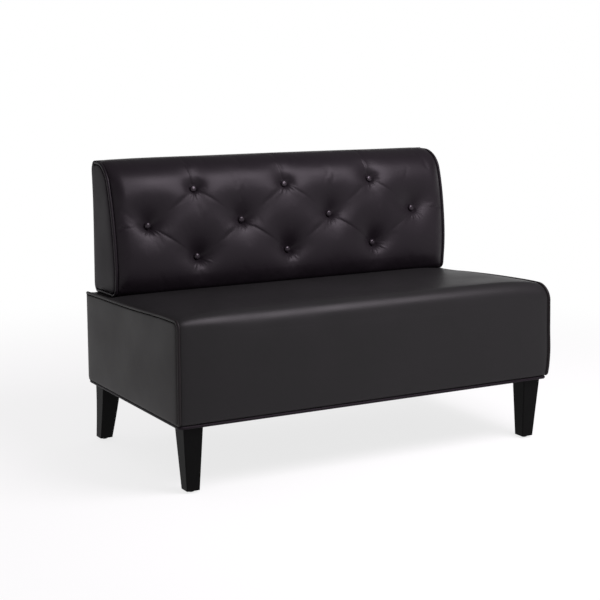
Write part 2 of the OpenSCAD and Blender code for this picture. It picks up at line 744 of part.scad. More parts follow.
// Cord round the base, with rounded corners
module base_cord() {
    bend = 8;
    x = half_w - cord_inset;
    y0 = seat_front + cord_inset;
    y1 = seat_rear - cord_inset;
    color(cover_colour)
        translate([0, 0, frame_z - seat_gap - cord_d / 2]) {
            for (y = [y0, y1])
                translate([bend - x, y, 0])
                    rotate([0, 90, 0])
                        cylinder(h = 2 * (x - bend), d = cord_d, $fn = 32);
            for (s = [-x, x])
                translate([s, y1 - bend, 0])
                    rotate([90, 0, 0])
                        cylinder(h = y1 - y0 - 2 * bend, d = cord_d, $fn = 32);
            for (k = [0:3])
                translate([(k == 0 || k == 3 ? 1 : -1) * (x - bend), k < 2 ? y1 - bend : y0 + bend, 0])
                    rotate([0, 0, 90 * k])
                        rotate_extrude(angle = 90, $fn = 64)
                            translate([bend, 0]) circle(d = cord_d, $fn = 32);
        }
}

module dust_cover() {
    edge = cord_inset + cord_d / 2 + seat_gap;
    color(cloth_colour)
        difference() {
            block_between([edge - half_w, seat_front + edge, frame_z - dust_t - bore_gap],
                [half_w - edge, seat_rear - edge, frame_z - bore_gap]);
            for (p = leg_spots)
                translate([p[0], p[1], frame_z - 2 * dust_t - 1])
                    cylinder(h = 3 * dust_t + 1, d = bolt_d + 1, $fn = 32);
        }
}

// Rib tails, the blocks on the rear rail and their bolts
tail_low = seat_h - tail_len;
bolt_margin = bolt_d * 3.75;
tail_bolt_zs = [tail_low + bolt_margin, rail_top - bolt_margin];
tail_mid = (tail_front + tail_rear) / 2;
block_out = rib_x + rib_t / 2;

module tail_block_at() {
    difference() {
        block_between(
            [block_out, tail_front - 4, tail_low - 5],
            [block_out + tail_block_t, inner_rear, rail_top - 4]);
        tail_bores();
    }
}

module tail_bores() {
    for (z = tail_bolt_zs)
        translate([rib_x - rib_t, tail_mid, z])
            rotate([0, 90, 0]) cylinder(h = rib_t * 2 + tail_block_t, d = bolt_d + 2 * bore_gap, $fn = 32);
}

module tail_blocks() {
    color(ply_colour) at_both_ends() tail_block_at();
}

washer_t = bolt_d * 0.2;
washer_r = bolt_d * 1.1;
nut_t = bolt_d * 0.8;
head_t = bolt_d * 0.65;
hex_d = bolt_d * 1.8;
shank = head_t + 2 * washer_t + rib_t + tail_block_t + nut_t + bolt_d / 2;

module tail_bolts() {
    color(steel_colour)
        at_both_ends()
            for (z = tail_bolt_zs)
                translate([rib_x - rib_t / 2 - washer_t - head_t, tail_mid, z])
                    rotate([0, 90, 0]) {
                        cylinder(h = head_t, d = hex_d, $fn = 6);
                        cylinder(h = shank, d = bolt_d, $fn = 32);
                    }
}

module ring(thick, r) {
    difference() {
        cylinder(h = thick, r = r, $fn = 48);
        translate([0, 0, -1]) cylinder(h = thick + 2, d = bolt_d + 2 * bore_gap, $fn = 32);
    }
}

module tail_washers() {
    color(steel_colour)
        at_both_ends()
            for (z = tail_bolt_zs)
                for (x = [rib_x - rib_t / 2 - washer_t, block_out + tail_block_t])
                    translate([x, tail_mid, z]) rotate([0, 90, 0]) ring(washer_t, washer_r);
}

module tail_nuts() {
    color(steel_colour)
        at_both_ends()
            for (z = tail_bolt_zs)
                translate([block_out + tail_block_t + washer_t, tail_mid, z])
                    rotate([0, 90, 0])
                        difference() {
                            cylinder(h = nut_t, d = hex_d, $fn = 6);
                            translate([0, 0, -1])
                                cylinder(h = nut_t + 2, d = bolt_d + 2 * bore_gap, $fn = 32);
                        }
}

// Cross rails of the back lie in notches at the ribs' rear edge, and one at the toe
cross_zs = [core_top - cross_h - 6, (core_top + core_low) / 2 - cross_h / 2, core_low + heel_in + 6];
toe_y = back_face + core_d;
toe_h = lean_start - 8;

module cross_rail(i) {
    block_between(
        [rib_t - back_inner, core_rear - cross_t, cross_zs[i]],
        [back_inner - rib_t, core_rear, cross_zs[i] + cross_h]);
}

module back_top_rail() {
    color(ply_colour) cross_rail(0);
}

module back_middle_rail() {
    color(ply_colour) cross_rail(1);
}

module back_bottom_rail() {
    color(ply_colour) cross_rail(2);
}

module back_toe_rail() {
    color(ply_colour)
        block_between(
            [rib_t - back_inner, toe_y, core_low],
            [back_inner - rib_t, toe_y + cross_t, core_low + toe_h]);
}

// A rib: the back's outline with a tail, notches for the rails and two bolt holes
module rib() {
    difference() {
        union() {
            plate_yz(frame_outline(0), rib_x - rib_t / 2, rib_x + rib_t / 2);
            block_between(
                [rib_x - rib_t / 2, tail_front, tail_low],
                [rib_x + rib_t / 2, tail_rear, core_low + 1]);
        }
        for (z = cross_zs)
            block_between(
                [rib_x - rib_t, core_rear - cross_t, z],
                [rib_x + rib_t, core_rear + 1, z + cross_h]);
        block_between(
            [rib_x - rib_t, toe_y - 1, core_low - 1],
            [rib_x + rib_t, toe_y + cross_t, core_low + toe_h]);
        tail_bores();
    }
}

module back_rib_left() {
    color(ply_colour) mirror([1, 0, 0]) rib();
}

module back_rib_right() {
    color(ply_colour) rib();
}

module end_board() {
    plate_yz(frame_outline(0), back_inner - rib_t, back_inner);
}

module back_end_board_left() {
    color(ply_colour) mirror([1, 0, 0]) end_board();
}

module back_end_board_right() {
    color(ply_colour) end_board();
}

// Bent board in front of the ribs, drilled for the twines
board_rows = concat([roll_rows[4]], face_rows);
twine_r = 1;

module tufting_board() {
    foot = core_low + toe_h / 2;
    low = [for (p = [[core_d, lean_z], [core_d, foot], [front_foam, foot], [front_foam, lean_z]])
        [back_face + p[0], p[1]]];
    color(ply_colour)
        difference() {
            plate_yz(concat(moved(board_rows, core_d), low, flip(moved(board_rows, front_foam))),
                -back_inner, back_inner);
            for (t = tufts)
                translate([t[0], back_face, t[1]])
                    rotate([-90, 0, 0]) cylinder(h = back_base_t, r = 3 * twine_r, $fn = 24);
        }
}

// Holes for the twines through foam and cover
module twine_holes() {
    for (t = tufts)
        translate([t[0], back_face - 1, t[1]])
            rotate([-90, 0, 0]) cylinder(h = back_base_t, r = 1.6 * twine_r, $fn = 4);
}

module back_foam() {
    inner = core(front_foam - seat_gap, top_foam - seat_gap, core_low);
    xs = concat([-back_inner], [for (i = [1:len(back_xs) - 2]) back_xs[i]], [back_inner]);
    color(foam_colour)
        difference() {
            foam_block(back_foam_rows, xs, back_rise_at, cover_t + seat_gap, inner, back_cut);
            twine_holes();
        }
}

module end_pad() {
    plate_yz(end_outline(welt_d + 1, cover_t + seat_gap), back_inner + eps, back_half - cover_t - seat_gap);
}

module back_end_pad_left() {
    color(foam_colour) mirror([1, 0, 0]) end_pad();
}

module back_end_pad_right() {
    color(foam_colour) end_pad();
}

// The tufted cover runs from the rear seam over the roll, down the face and under the base
module back_front_cover() {
    color(cover_colour)
        difference() {
            sheet(back_rows, back_xs, back_rise_at, 0, cover_t, back_cut);
            twine_holes();
            tail_slots(back_z - 1, back_z + 2 * cover_t);
        }
}

// Flat rear panel, turned over the heel at its top and bottom
module back_rear_cover() {
    rows = concat(heel_low, heel_top);
    color(cover_colour)
        plate_yz(concat(moved(rows, 0), flip(moved(rows, cover_t))),
            cover_t + seat_gap - back_half, back_half - cover_t - seat_gap);
}

module end_cover() {
    plate_yz(end_outline(welt_d + seat_gap, 0), back_half - cover_t, back_half);
}

module back_end_cover_left() {
    color(side_colour) mirror([1, 0, 0]) end_cover();
}

module back_end_cover_right() {
    color(side_colour) end_cover();
}

// Piping along the front and top edge of each end of the back
module back_welt() {
    cord_along(moved(back_rows, welt_d / 2), back_half - welt_d / 2, welt_d);
}

module back_welt_left() {
    color(cover_colour) mirror([1, 0, 0]) back_welt();
}

module back_welt_right() {
    color(cover_colour) back_welt();
}

// Where the cover lies under a button: middle of the flat, and its tilt from upright
function tuft_point(t, s, d) = let (
        q = face_row(t[1] + s * tuft_flat),
        h = back_rise_at(abs(t[0]) + tuft_flat, q) - d)
    [q[0] + q[2] * h, q[1] + q[3] * h];
function tuft_tilt(t) = let (v = tuft_point(t, 1, 0) - tuft_point(t, -1, 0)) atan2(v[0], v[1]);

module on_tuft(t, d) {
    mid = (tuft_point(t, 1, d) + tuft_point(t, -1, d)) / 2;
    translate([t[0], mid[0], mid[1]])
        rotate([90 - tuft_tilt(t), 0, 0])
            children();
}

// Covered button: a low dome with a rolled rim
module button() {
    r = button_d / 2;
    rim = button_h * 0.4;
    rotate_extrude($fn = 48)
        polygon(concat(
            [[0, 0], [r * 0.86, 0], [r, rim * 0.5], [r, rim]],
            [for (a = [15:15:90]) [r * cos(a), rim + (button_h - rim) * sin(a)]]));
}

module tuft_buttons() {
    color(cover_colour)
        for (t = tufts) on_tuft(t, -seat_gap) button();
}

// Twines from the buttons to the washers behind the board
function board_y(t) = let (q = face_row(t[1])) q[0] - q[2] * core_d;

module tuft_twines() {
    color(twine_colour)
        for (t = tufts) {
            start = (tuft_point(t, 1, 0)[0] + tuft_point(t, -1, 0)[0]) / 2;
            translate([t[0], start + seat_gap, t[1]])
                rotate([-90, 0, 0]) cylinder(h = board_y(t) - start + 6, r = twine_r, $fn = 16);
        }
}

module tuft_washers() {
    color(steel_colour)
        for (t = tufts) {
            q = face_row(t[1]);
            d = core_d + seat_gap;
            translate([t[0], q[0] - q[2] * d, q[1] - q[3] * d])
                rotate([-90 - atan2(q[3], -q[2]), 0, 0])
                    difference() {
                        cylinder(h = 1.5, r = 9, $fn = 32);
                        translate([0, 0, -1]) cylinder(h = 4, r = 1.8 * twine_r, $fn = 16);
                    }
        }
}

leg_front_left();
leg_front_right();
leg_rear_left();
leg_rear_right();
leg_glides();
hanger_bolts();
tee_nuts();
corner_plates();
corner_blocks();
seat_front_rail();
seat_rear_rail();
seat_side_rail_left();
seat_side_rail_right();
seat_stretcher();
seat_springs();
spring_clips();
spring_felt();
seat_foam();
seat_front_pad();
seat_rear_pad();
seat_side_pad_left();
seat_side_pad_right();
seat_top_cover();
seat_rear_cover();
seat_side_cover_left();
seat_side_cover_right();
seat_welt_left();
seat_welt_right();
base_cord();
dust_cover();
tail_blocks();
tail_bolts();
tail_nuts();
tail_washers();
back_rib_left();
back_rib_right();
back_end_board_left();
back_end_board_right();
back_top_rail();
back_middle_rail();
back_bottom_rail();
back_toe_rail();
tufting_board();
back_foam();
back_end_pad_left();
back_end_pad_right();
back_front_cover();
back_rear_cover();
back_end_cover_left();
back_end_cover_right();
back_welt_left();
back_welt_right();
tuft_buttons();
tuft_twines();
tuft_washers();
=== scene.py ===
import json
import math

import bmesh
import bpy
import numpy as np
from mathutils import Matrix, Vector


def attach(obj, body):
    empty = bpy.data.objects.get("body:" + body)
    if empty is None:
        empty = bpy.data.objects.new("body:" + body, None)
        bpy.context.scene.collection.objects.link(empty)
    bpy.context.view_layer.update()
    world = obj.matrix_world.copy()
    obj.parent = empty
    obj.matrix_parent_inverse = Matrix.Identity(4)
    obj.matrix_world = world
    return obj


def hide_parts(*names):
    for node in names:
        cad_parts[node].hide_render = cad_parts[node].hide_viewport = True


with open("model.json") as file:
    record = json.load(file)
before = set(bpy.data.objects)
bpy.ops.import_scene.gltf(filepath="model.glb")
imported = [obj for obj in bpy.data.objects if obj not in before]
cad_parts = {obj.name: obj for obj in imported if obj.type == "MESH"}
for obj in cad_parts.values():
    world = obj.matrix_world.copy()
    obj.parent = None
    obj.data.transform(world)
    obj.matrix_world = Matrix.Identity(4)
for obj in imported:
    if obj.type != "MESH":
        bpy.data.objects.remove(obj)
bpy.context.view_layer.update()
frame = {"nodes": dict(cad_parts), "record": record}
print("frame loaded:", len(frame["nodes"]), "nodes")

scene = bpy.context.scene

# Camera: fitted to the bench's outline in the photograph, square picture
view = {
    "place": (-2.1653, -3.7252, 1.1979),
    "yaw": 29.502,  # degrees from +Y towards +X
    "pitch": 10.251,  # degrees below the horizon
    "lens": 89.7,
    "sensor": 36.0,
}


def addObject(name, data):
    # an object in the scene
    thing = bpy.data.objects.new(name, data)
    scene.collection.objects.link(thing)
    return thing


def makeCamera():
    data = bpy.data.cameras.new("camera")
    data.lens = view["lens"]
    data.sensor_width = view["sensor"]
    data.sensor_fit = "HORIZONTAL"
    data.clip_end = 60.0
    camera = addObject("camera", data)
    camera.location = view["place"]
    camera.rotation_euler = (math.radians(90 - view["pitch"]), 0, math.radians(-view["yaw"]))
    scene.camera = camera


makeCamera()

# Measures of the bench, in metres, as the frame has them
bench = {
    "halfWidth": 0.600,
    "seatDepth": 0.630,
    "seatEdge": 0.445,  # height of the seat's edge at the rear
    "seatRise": 0.019,  # how much that edge climbs to the front
    "backHeight": 0.380,
    "backOverhang": 0.026,
    "frontSwell": 0.004,
    "frameFoot": 0.188,  # underside of the seat box
    "noseRadius": 0.040,
    "tuckRadius": 0.010,
    "backInset": 0.036,  # end of the seat to end of the back
    "backBase": 0.168,  # depth of the back at its foot
    "lean": 14.5,
    "leanStart": 0.064,
    "leanPower": 1.4,
    "rollRadius": 0.075,
    "toeRadius": 0.022,
    "heelRadius": 0.020,
    "piping": 0.009,
    "gap": 0.0003,  # between covers that touch
}
backRear = (bench["seatDepth"] + bench["backOverhang"] + bench["frontSwell"]) / 2
seatRear = backRear - bench["backOverhang"]
seatFront = seatRear - bench["seatDepth"]
backFoot = bench["seatEdge"] + bench["gap"]
crest = backFoot + bench["backHeight"]
backFace = backRear - bench["backBase"]
backHalf = bench["halfWidth"] - bench["backInset"]


def fade(t):
    # smooth step from 0 to 1
    c = np.clip(t, 0.0, 1.0)
    return c * c * (3 - 2 * c)


def through(at, xs, ys):
    # a smooth curve through a few points: cubic pieces whose slopes are the mean of their neighbours'
    order = np.argsort(xs)
    xs, ys = np.asarray(xs, dtype=float)[order], np.asarray(ys, dtype=float)[order]
    slope = np.gradient(ys, xs)
    i = np.clip(np.searchsorted(xs, at) - 1, 0, len(xs) - 2)
    span = xs[i + 1] - xs[i]
    t = np.clip((at - xs[i]) / span, 0, 1)
    return ((1 + 2 * t) * (1 - t) ** 2 * ys[i] + t * (1 - t) ** 2 * span * slope[i]
            + t * t * (3 - 2 * t) * ys[i + 1] + t * t * (t - 1) * span * slope[i + 1])


def curve(xs, ys):
    # the same as a function
    return lambda at: through(at, xs, ys)


def arcPoints(centre, radius, start, stop, count):
    # points [y, z] on a circle, from one angle to another in degrees
    a = np.radians(np.linspace(start, stop, count))
    return np.asarray(centre) + radius * np.stack([np.cos(a), np.sin(a)], axis=-1)


def gridFaces(rows, cols, wrap=False):
    # quads of a grid whose points are numbered row by row
    r, c = np.meshgrid(np.arange(rows - 1), np.arange(cols if wrap else cols - 1), indexing="ij")
    a = r * cols + c
    b = r * cols + (c + 1) % cols
    return np.stack([a, b, b + cols, a + cols], axis=-1).reshape(-1, 4)


def meshPiece(name, verts, faces):
    # a mesh object from points and faces, welded, facing outwards, riding on the bench
    data = bpy.data.meshes.new(name)
    data.from_pydata(np.asarray(verts, dtype=float).tolist(), [], [list(map(int, f)) for f in faces])
    data.update()
    work = bmesh.new()
    work.from_mesh(data)
    bmesh.ops.remove_doubles(work, verts=work.verts, dist=1e-6)
    bmesh.ops.recalc_face_normals(work, faces=work.faces)
    work.to_mesh(data)
    work.free()
    data.polygons.foreach_set("use_smooth", np.full(len(data.polygons), True))
    piece = addObject(name, data)
    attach(piece, "root")
    return piece


# Spacing of the points along a seam: of panels, of piping and of rear panels
panelStep = 0.005
pipingStep = 0.004
rearStep = 0.008


def resample(points, step):
    # points along a line at even spacing, by arc length
    run = np.r_[0, np.cumsum(np.linalg.norm(np.diff(points, axis=0), axis=1))]
    at = np.linspace(0, run[-1], max(2, int(round(run[-1] / step)) + 1))
    return np.stack([np.interp(at, run, points[:, k]) for k in range(points.shape[1])], axis=1)


def closedLine(points, step):
    # the same round a closed line
    return resample(np.vstack([points, points[:1]]), step)[:-1]


def unit(vectors):
    return vectors / np.linalg.norm(vectors, axis=-1, keepdims=True)


def acrossPoints(half, count, power):
    # places from end to end, closer at both ends
    inner = np.linspace(-1, 1, count)
    return half * np.sign(inner) * (1 - (1 - np.abs(inner)) ** power)


def outwardNormals(lines):
    # normals in the YZ plane of lines that start at the rear of the top edge, along the first axis
    along = unit(np.gradient(lines, axis=0))
    return np.stack([along[..., 1], -along[..., 0]], axis=-1)


def inwards(line, distance):
    # a line moved towards its inside by a distance
    return line - outwardNormals(line) * distance


# Colour and material helpers
def hexColour(code):
    # sRGB hex to linear RGBA
    parts = np.array([int(code[i:i + 2], 16) for i in (1, 3, 5)]) / 255
    linear = np.where(parts <= 0.04045, parts / 12.92, ((parts + 0.055) / 1.055) ** 2.4)
    return (*linear.tolist(), 1.0)


def addNode(tree, kind, links=None, **values):
    # a shader node with its settings; links name an input and what feeds it
    node = tree.nodes.new("ShaderNode" + kind)
    for key, value in values.items():
        setattr(node, key, value)
    for key, value in (links or {}).items():
        socket = node.inputs[key]
        if isinstance(value, bpy.types.NodeSocket):
            tree.links.new(value, socket)
        else:
            socket.default_value = value
    return node


def newMaterial(name):
    material = bpy.data.materials.new(name)
    material.use_nodes = True
    material.node_tree.nodes.clear()
    return material, material.node_tree


def scaled(tree, value, low, high, first, last, kind="LINEAR"):
    # a value carried from one range to another
    return addNode(tree, "MapRange", {"Value": value, "From Min": low, "From Max": high, "To Min": first,
                                      "To Max": last}, interpolation_type=kind).outputs["Result"]


def twoTones(tree, share, dark, light):
    # a colour between two tones, by a share
    mix = addNode(tree, "Mix", {"Factor": share}, data_type="RGBA")
    first, second = [socket for socket in mix.inputs if socket.type == "RGBA"]
    first.default_value = hexColour(dark)
    second.default_value = hexColour(light)
    return next(socket for socket in mix.outputs if socket.type == "RGBA")


# Faux leather: calendered PU on a knit, pebble grain about 1 mm; a soft, slightly patchy sheen
leatherLook = {
    "grainMm": 1.1,
    "crazeMm": 6.0,
    "patchScale": 7.0,  # per metre: patches about 14 cm wide
    "grainDepth": 0.00012,
    "crazeDepth": 0.00025,
}


def makeLeather(name, tones, roughness, specular, sheenTint):
    # tones and roughness run from the first to the second value over the patches
    material, tree = newMaterial(name)
    place = addNode(tree, "TexCoord").outputs["Object"]
    grain = addNode(tree, "TexVoronoi", {"Vector": place, "Scale": 1000 / leatherLook["grainMm"]},
                    feature="SMOOTH_F1")
    craze = addNode(tree, "TexNoise", {"Vector": place, "Scale": 1000 / leatherLook["crazeMm"],
                                       "Detail": 4.0, "Roughness": 0.55})
    patch = addNode(tree, "TexNoise", {"Vector": place, "Scale": leatherLook["patchScale"], "Detail": 3.0})
    fine = addNode(tree, "Bump", {"Height": grain.outputs["Distance"], "Strength": 0.35,
                                  "Distance": leatherLook["grainDepth"]})
    coarse = addNode(tree, "Bump", {"Height": craze.outputs["Fac"], "Strength": 0.5,
                                    "Distance": leatherLook["crazeDepth"], "Normal": fine.outputs["Normal"]})
    shader = addNode(tree, "BsdfPrincipled", {
        "Base Color": twoTones(tree, patch.outputs["Fac"], *tones),
        "Roughness": scaled(tree, patch.outputs["Fac"], 0.3, 0.7, *roughness),
        "IOR": 1.45,
        "Specular IOR Level": specular,
        "Specular Tint": hexColour(sheenTint),
        "Normal": coarse.outputs["Normal"],
    })
    addNode(tree, "OutputMaterial", {"Surface": shader.outputs["BSDF"]})
    return material


# The back is a little violet, the seat and its ends less; flat panels shine less, the taut buttons more. The
# seat's copy is lighter than the back's: painted light, which brightens the seat's top
leather = makeLeather("pu_leather_black", ("#151115", "#1a161a"), (0.40, 0.48), 0.19, "#fff8ff")
# the seat's lighter tones are painted light on its top, not a different leather
leatherSeatPaintedLight = makeLeather("pu_leather_black_seat_painted_light", ("#1b1b1b", "#201f20"), (0.38, 0.46), 0.16, "#fffcff")
leatherSides = makeLeather("pu_leather_black_side", ("#181516", "#1d1a1b"), (0.42, 0.50), 0.16, "#fffeff")
leatherEnds = makeLeather("pu_leather_black_end", ("#151115", "#1a161a"), (0.46, 0.54), 0.10, "#fff3ff")
leatherTaut = makeLeather("pu_leather_black_taut", ("#151015", "#1a151a"), (0.26, 0.34), 0.42, "#fff3ff")


# Plain stock: one noise over two tones, stretched along the fibres
def makeStock(name, dark, light, grainMm, stretch, roughness, metallic=0.0, specular=0.5, detail=4.0,
              relief=(0.4, 0.0003)):
    material, tree = newMaterial(name)
    place = addNode(tree, "TexCoord").outputs["Object"]
    along = addNode(tree, "Mapping", {"Vector": place, "Scale": stretch})
    grain = addNode(tree, "TexNoise", {"Vector": along.outputs["Vector"], "Scale": 1000 / grainMm,
                                       "Detail": detail})
    bump = addNode(tree, "Bump", {"Height": grain.outputs["Fac"], "Strength": relief[0],
                                  "Distance": relief[1]})
    shader = addNode(tree, "BsdfPrincipled", {
        "Base Color": twoTones(tree, grain.outputs["Fac"], dark, light),
        "Roughness": roughness,
        "Metallic": metallic,
        "IOR": 1.5,
        "Specular IOR Level": specular,
        "Normal": bump.outputs["Normal"],
    })
    addNode(tree, "OutputMaterial", {"Surface": shader.outputs["BSDF"]})
    return material


# stained and sprayed hardwood, satin black; the grain barely shows
lacquer = makeStock("hardwood_black_lacquer", "#060606", "#0c0c0c", 3.0, (1, 1, 1 / 14), 0.45,
                    specular=0.05, detail=5.0, relief=(0.3, 0.0002))
# sawn, warm and dull
birchPly = makeStock("birch_plywood", "#b8925e", "#d2b483", 9.0, (1, 1, 8), 0.62)
# bright, finely mottled
zincSteel = makeStock("zinc_plated_steel", "#8d9296", "#b4b8bb", 2.0, (1, 1, 1), 0.36, 1.0)
# matted fibres
pressedFelt = makeStock("pressed_felt", "#77796f", "#96988e", 1.5, (1, 1, 1), 0.95)
# dull black non-woven
spunCloth = makeStock("spunbond_cloth", "#0f0f11", "#1b1b1e", 1.2, (1, 6, 1), 0.9)
# waxy and pale
nylonTwine = makeStock("waxed_nylon_twine", "#d8d4c4", "#ece9dc", 0.8, (1, 6, 1), 0.5)
# moulded, satin black
blackPlastic = makeStock("moulded_polyethylene", "#0c0c0d", "#131314", 0.6, (1, 1, 1), 0.45)
# open cells, pale cream
puFoam = makeStock("polyurethane_foam", "#d8c98f", "#eadfae", 1.5, (1, 1, 1), 0.95)

slotLooks = {
    "upholstery_leather": leather,
    "leg_wood": lacquer,
    "plywood": birchPly,
    "foam": puFoam,
    "felt": pressedFelt,
    "dust_cloth": spunCloth,
    "twine": nylonTwine,
    "zinc_steel": zincSteel,
    "glide_plastic": blackPlastic,
}


def dressNodes():
    # every carried-over node takes the look of its slot
    slots = {part["node"]: part["material_slot"] for part in frame["record"]["subparts"]}
    for name, node in frame["nodes"].items():
        node.data.materials.clear()
        node.data.materials.append(slotLooks[slots[name]])


dressNodes()
print("materials ready")


def dress(piece, material):
    piece.data.materials.clear()
    piece.data.materials.append(material)


def cushionBody(name, skin, wall):
    # a closed body: the outer skin, a plain inner wall a given distance in at each row, and flat ends
    rows, cols = skin.shape[:2]
    normal = outwardNormals(skin[:, [0, -1], 1:])
    inner = skin[:, [0, -1]].copy()
    inner[..., 1:] -= normal * np.asarray(wall)[:, None, None]
    verts = np.concatenate([skin.reshape(-1, 3), inner.reshape(-1, 3)])
    faces = gridFaces(rows, cols).tolist()
    left = rows * cols + 2 * np.arange(rows)
    right = left + 1
    r = np.arange(rows - 1)
    faces += np.stack([left[r], left[r + 1], right[r + 1], right[r]], axis=1).tolist()
    faces += np.stack([r * cols, left[r], left[r + 1], (r + 1) * cols], axis=1).tolist()
    last = r * cols + cols - 1
    faces += np.stack([last, last + cols, right[r + 1], right[r]], axis=1).tolist()
    faces.append([*range(cols), int(right[0]), int(left[0])])
    faces.append([*range((rows - 1) * cols, rows * cols), int(right[-1]), int(left[-1])])
    return meshPiece(name, verts, faces)


def closedSheet(name, points, thick):
    # a skin with an inner face a little way in, closed round its rim
    rows, cols = points.shape[:2]
    normal = unit(np.cross(np.gradient(points, axis=1), np.gradient(points, axis=0)))
    verts = np.concatenate([points.reshape(-1, 3), (points + normal * thick).reshape(-1, 3)])
    count = rows * cols
    rim = np.concatenate([
        np.arange(cols), cols * np.arange(1, rows) + cols - 1,
        (rows - 1) * cols + np.arange(cols - 2, -1, -1), cols * np.arange(rows - 2, 0, -1)])
    after = np.roll(rim, -1)
    wall = np.stack([rim, rim + count, after + count, after], axis=1)
    outer = gridFaces(rows, cols)
    return meshPiece(name, verts, np.concatenate([outer, outer[:, ::-1] + count, wall]))


# Cloth: the skin of a pad is copied, held at its seams and buttons, and blown up from inside
clothFrames = 20
clothLook = {
    "quality": 6,
    "mass": 0.3,
    "tension_stiffness": 18.0,
    "compression_stiffness": 18.0,
    "shear_stiffness": 9.0,
    "bending_stiffness": 0.35,
    "tension_damping": 8.0,
    "compression_damping": 8.0,
    "shear_damping": 8.0,
    "air_damping": 2.0,
    "vertex_group_mass": "held",
    "use_pressure": True,
}


def inflate(name, skin, held, pressure, slack, cap, calm, share):
    # how far each point of the skin moves: calmed with its neighbours, scaled by the share that the foam
    # lets it keep, and capped.
    rows, cols = skin.shape[:2]
    data = bpy.data.meshes.new(name + "Cloth")
    data.from_pydata(skin.reshape(-1, 3).tolist(), [], gridFaces(rows, cols).tolist())
    data.update()
    cloth = addObject(name + "Cloth", data)
    group = cloth.vertex_groups.new(name="held")
    group.add(np.flatnonzero(held.ravel()).tolist(), 1.0, "REPLACE")
    modifier = cloth.modifiers.new("cloth", "CLOTH")
    settings = modifier.settings
    for key, value in clothLook.items():
        setattr(settings, key, value)
    settings.uniform_pressure_force = pressure
    settings.shrink_min = -slack
    settings.effector_weights.gravity = 0.0
    modifier.collision_settings.use_collision = False
    modifier.point_cache.frame_start = 1
    modifier.point_cache.frame_end = clothFrames
    for step in range(1, clothFrames + 1):
        scene.frame_set(step)
    settled = cloth.evaluated_get(bpy.context.evaluated_depsgraph_get())
    flat = np.empty(rows * cols * 3)
    settled.data.vertices.foreach_get("co", flat)
    move = flat.reshape(rows, cols, 3) - skin
    bpy.data.objects.remove(cloth)
    bpy.data.meshes.remove(data)
    scene.frame_set(1)
    for turn in range(calm):
        mean = (move[:-2, 1:-1] + move[2:, 1:-1] + move[1:-1, :-2] + move[1:-1, 2:]) / 4
        move[1:-1, 1:-1] = np.where(held[1:-1, 1:-1, None], 0, (move[1:-1, 1:-1] + mean) / 2)
    move *= share
    far = np.linalg.norm(move, axis=-1, keepdims=True)
    return move * (cap * np.tanh(far / cap) / np.maximum(far, 1e-9))


def rimsHeld(skin, rear, foot):
    # what the cloth run holds of a skin: rows at its rear and foot, two columns at each end
    held = np.zeros(skin.shape[:2], dtype=bool)
    held[:rear], held[-foot:], held[:, :2], held[:, -2:] = True, True, True, True
    return held


def everySecond(count):
    # every second row or column, and the last
    return np.r_[np.arange(0, count - 1, 2), count - 1]


def spread(values, at, count):
    # values known at some rows, read off along straight lines at every row
    row = np.arange(count)
    i = np.clip(np.searchsorted(at, row, side="right") - 1, 0, len(at) - 2)
    t = ((row - at[i]) / (at[i + 1] - at[i]))[:, None, None]
    return values[i] * (1 - t) + values[i + 1] * t


def swollen(name, skin, held, settings):
    # the skin after its cloth run, made on every second row and column. The grid is turned for the run, so
    # that its faces point away from the pad
    rows, cols = skin.shape[:2]
    rowsAt, colsAt = everySecond(rows), everySecond(cols)
    pick = np.ix_(rowsAt, colsAt)
    move = inflate(name, skin[pick][:, ::-1], held[pick][:, ::-1], **settings)[:, ::-1]
    return skin + spread(spread(move, rowsAt, rows).swapaxes(0, 1), colsAt, cols).swapaxes(0, 1)


# Seat: the frame's outline in the middle; the two ends follow their own seams, which the photograph
# shows higher at the left, and lower and rounder at the right
seat = {
    "crown": 0.012,
    "pressSpan": 0.030,
    "stations": (0.304, 0.200, 0.090, -0.040, -0.160, -0.240, -0.300),
    "leftEdge": (0.4500, 0.4535, 0.4555, 0.4590, 0.4645, 0.4675, 0.4680),
    "rightEdge": (0.4310, 0.4350, 0.4445, 0.4540, 0.4605, 0.4635, 0.4640),
    "leftNose": 0.024,
    "rightNose": 0.050,
    "topRows": 110,  # points of the outline: top, nose, front face and tuck
    "noseRows": 24,
    "faceRows": 60,
    "tuckRows": 10,
    "reach": 0.280,  # how far in an end's own outline is felt
    "reachRear": 0.036,  # the same under the back, which presses the seat flat
    "edge": 0.0092,  # short of the end, where the piping lies
    "columns": 201,
    "seamDip": 0.0042,  # beside the piping
    "seamReach": 0.010,
    "rightSplay": (0.0036, 0.0065, 0.0114, 0.0086, 0.0066, 0.0050, 0.0030, 0.0010),
    "splayHeights": (0.188, 0.200, 0.250, 0.330, 0.400, 0.440, 0.456, 0.470),
    "splayReach": 0.25,  # how far in the splay is felt
    "held": (2, 12),  # rows that the cloth run holds at its rear and under the box
    "walls": (0.0016, 0.018, 0.0077),  # depth of the body at its rims, on the top and on the face
    "thinRows": 30,  # over how many rows it grows at the rear
    "cloth": {"pressure": 3.0, "slack": 0.0, "cap": 0.002, "calm": 16, "share": 0.4},
}
pressY = backFace + bench["toeRadius"] / 2
noseY = seatFront + bench["noseRadius"]
noseRow = seat["topRows"] - 1
faceRow = noseRow + seat["noseRows"] - 1
tuckRow = faceRow + seat["faceRows"] - 1


def seatEdgeZ(y):
    # the frame's own edge: flat under the back, then climbing to the front
    climb = np.clip((pressY - y) / (pressY - noseY), 0, None) ** 1.1
    return bench["seatEdge"] + bench["seatRise"] * climb


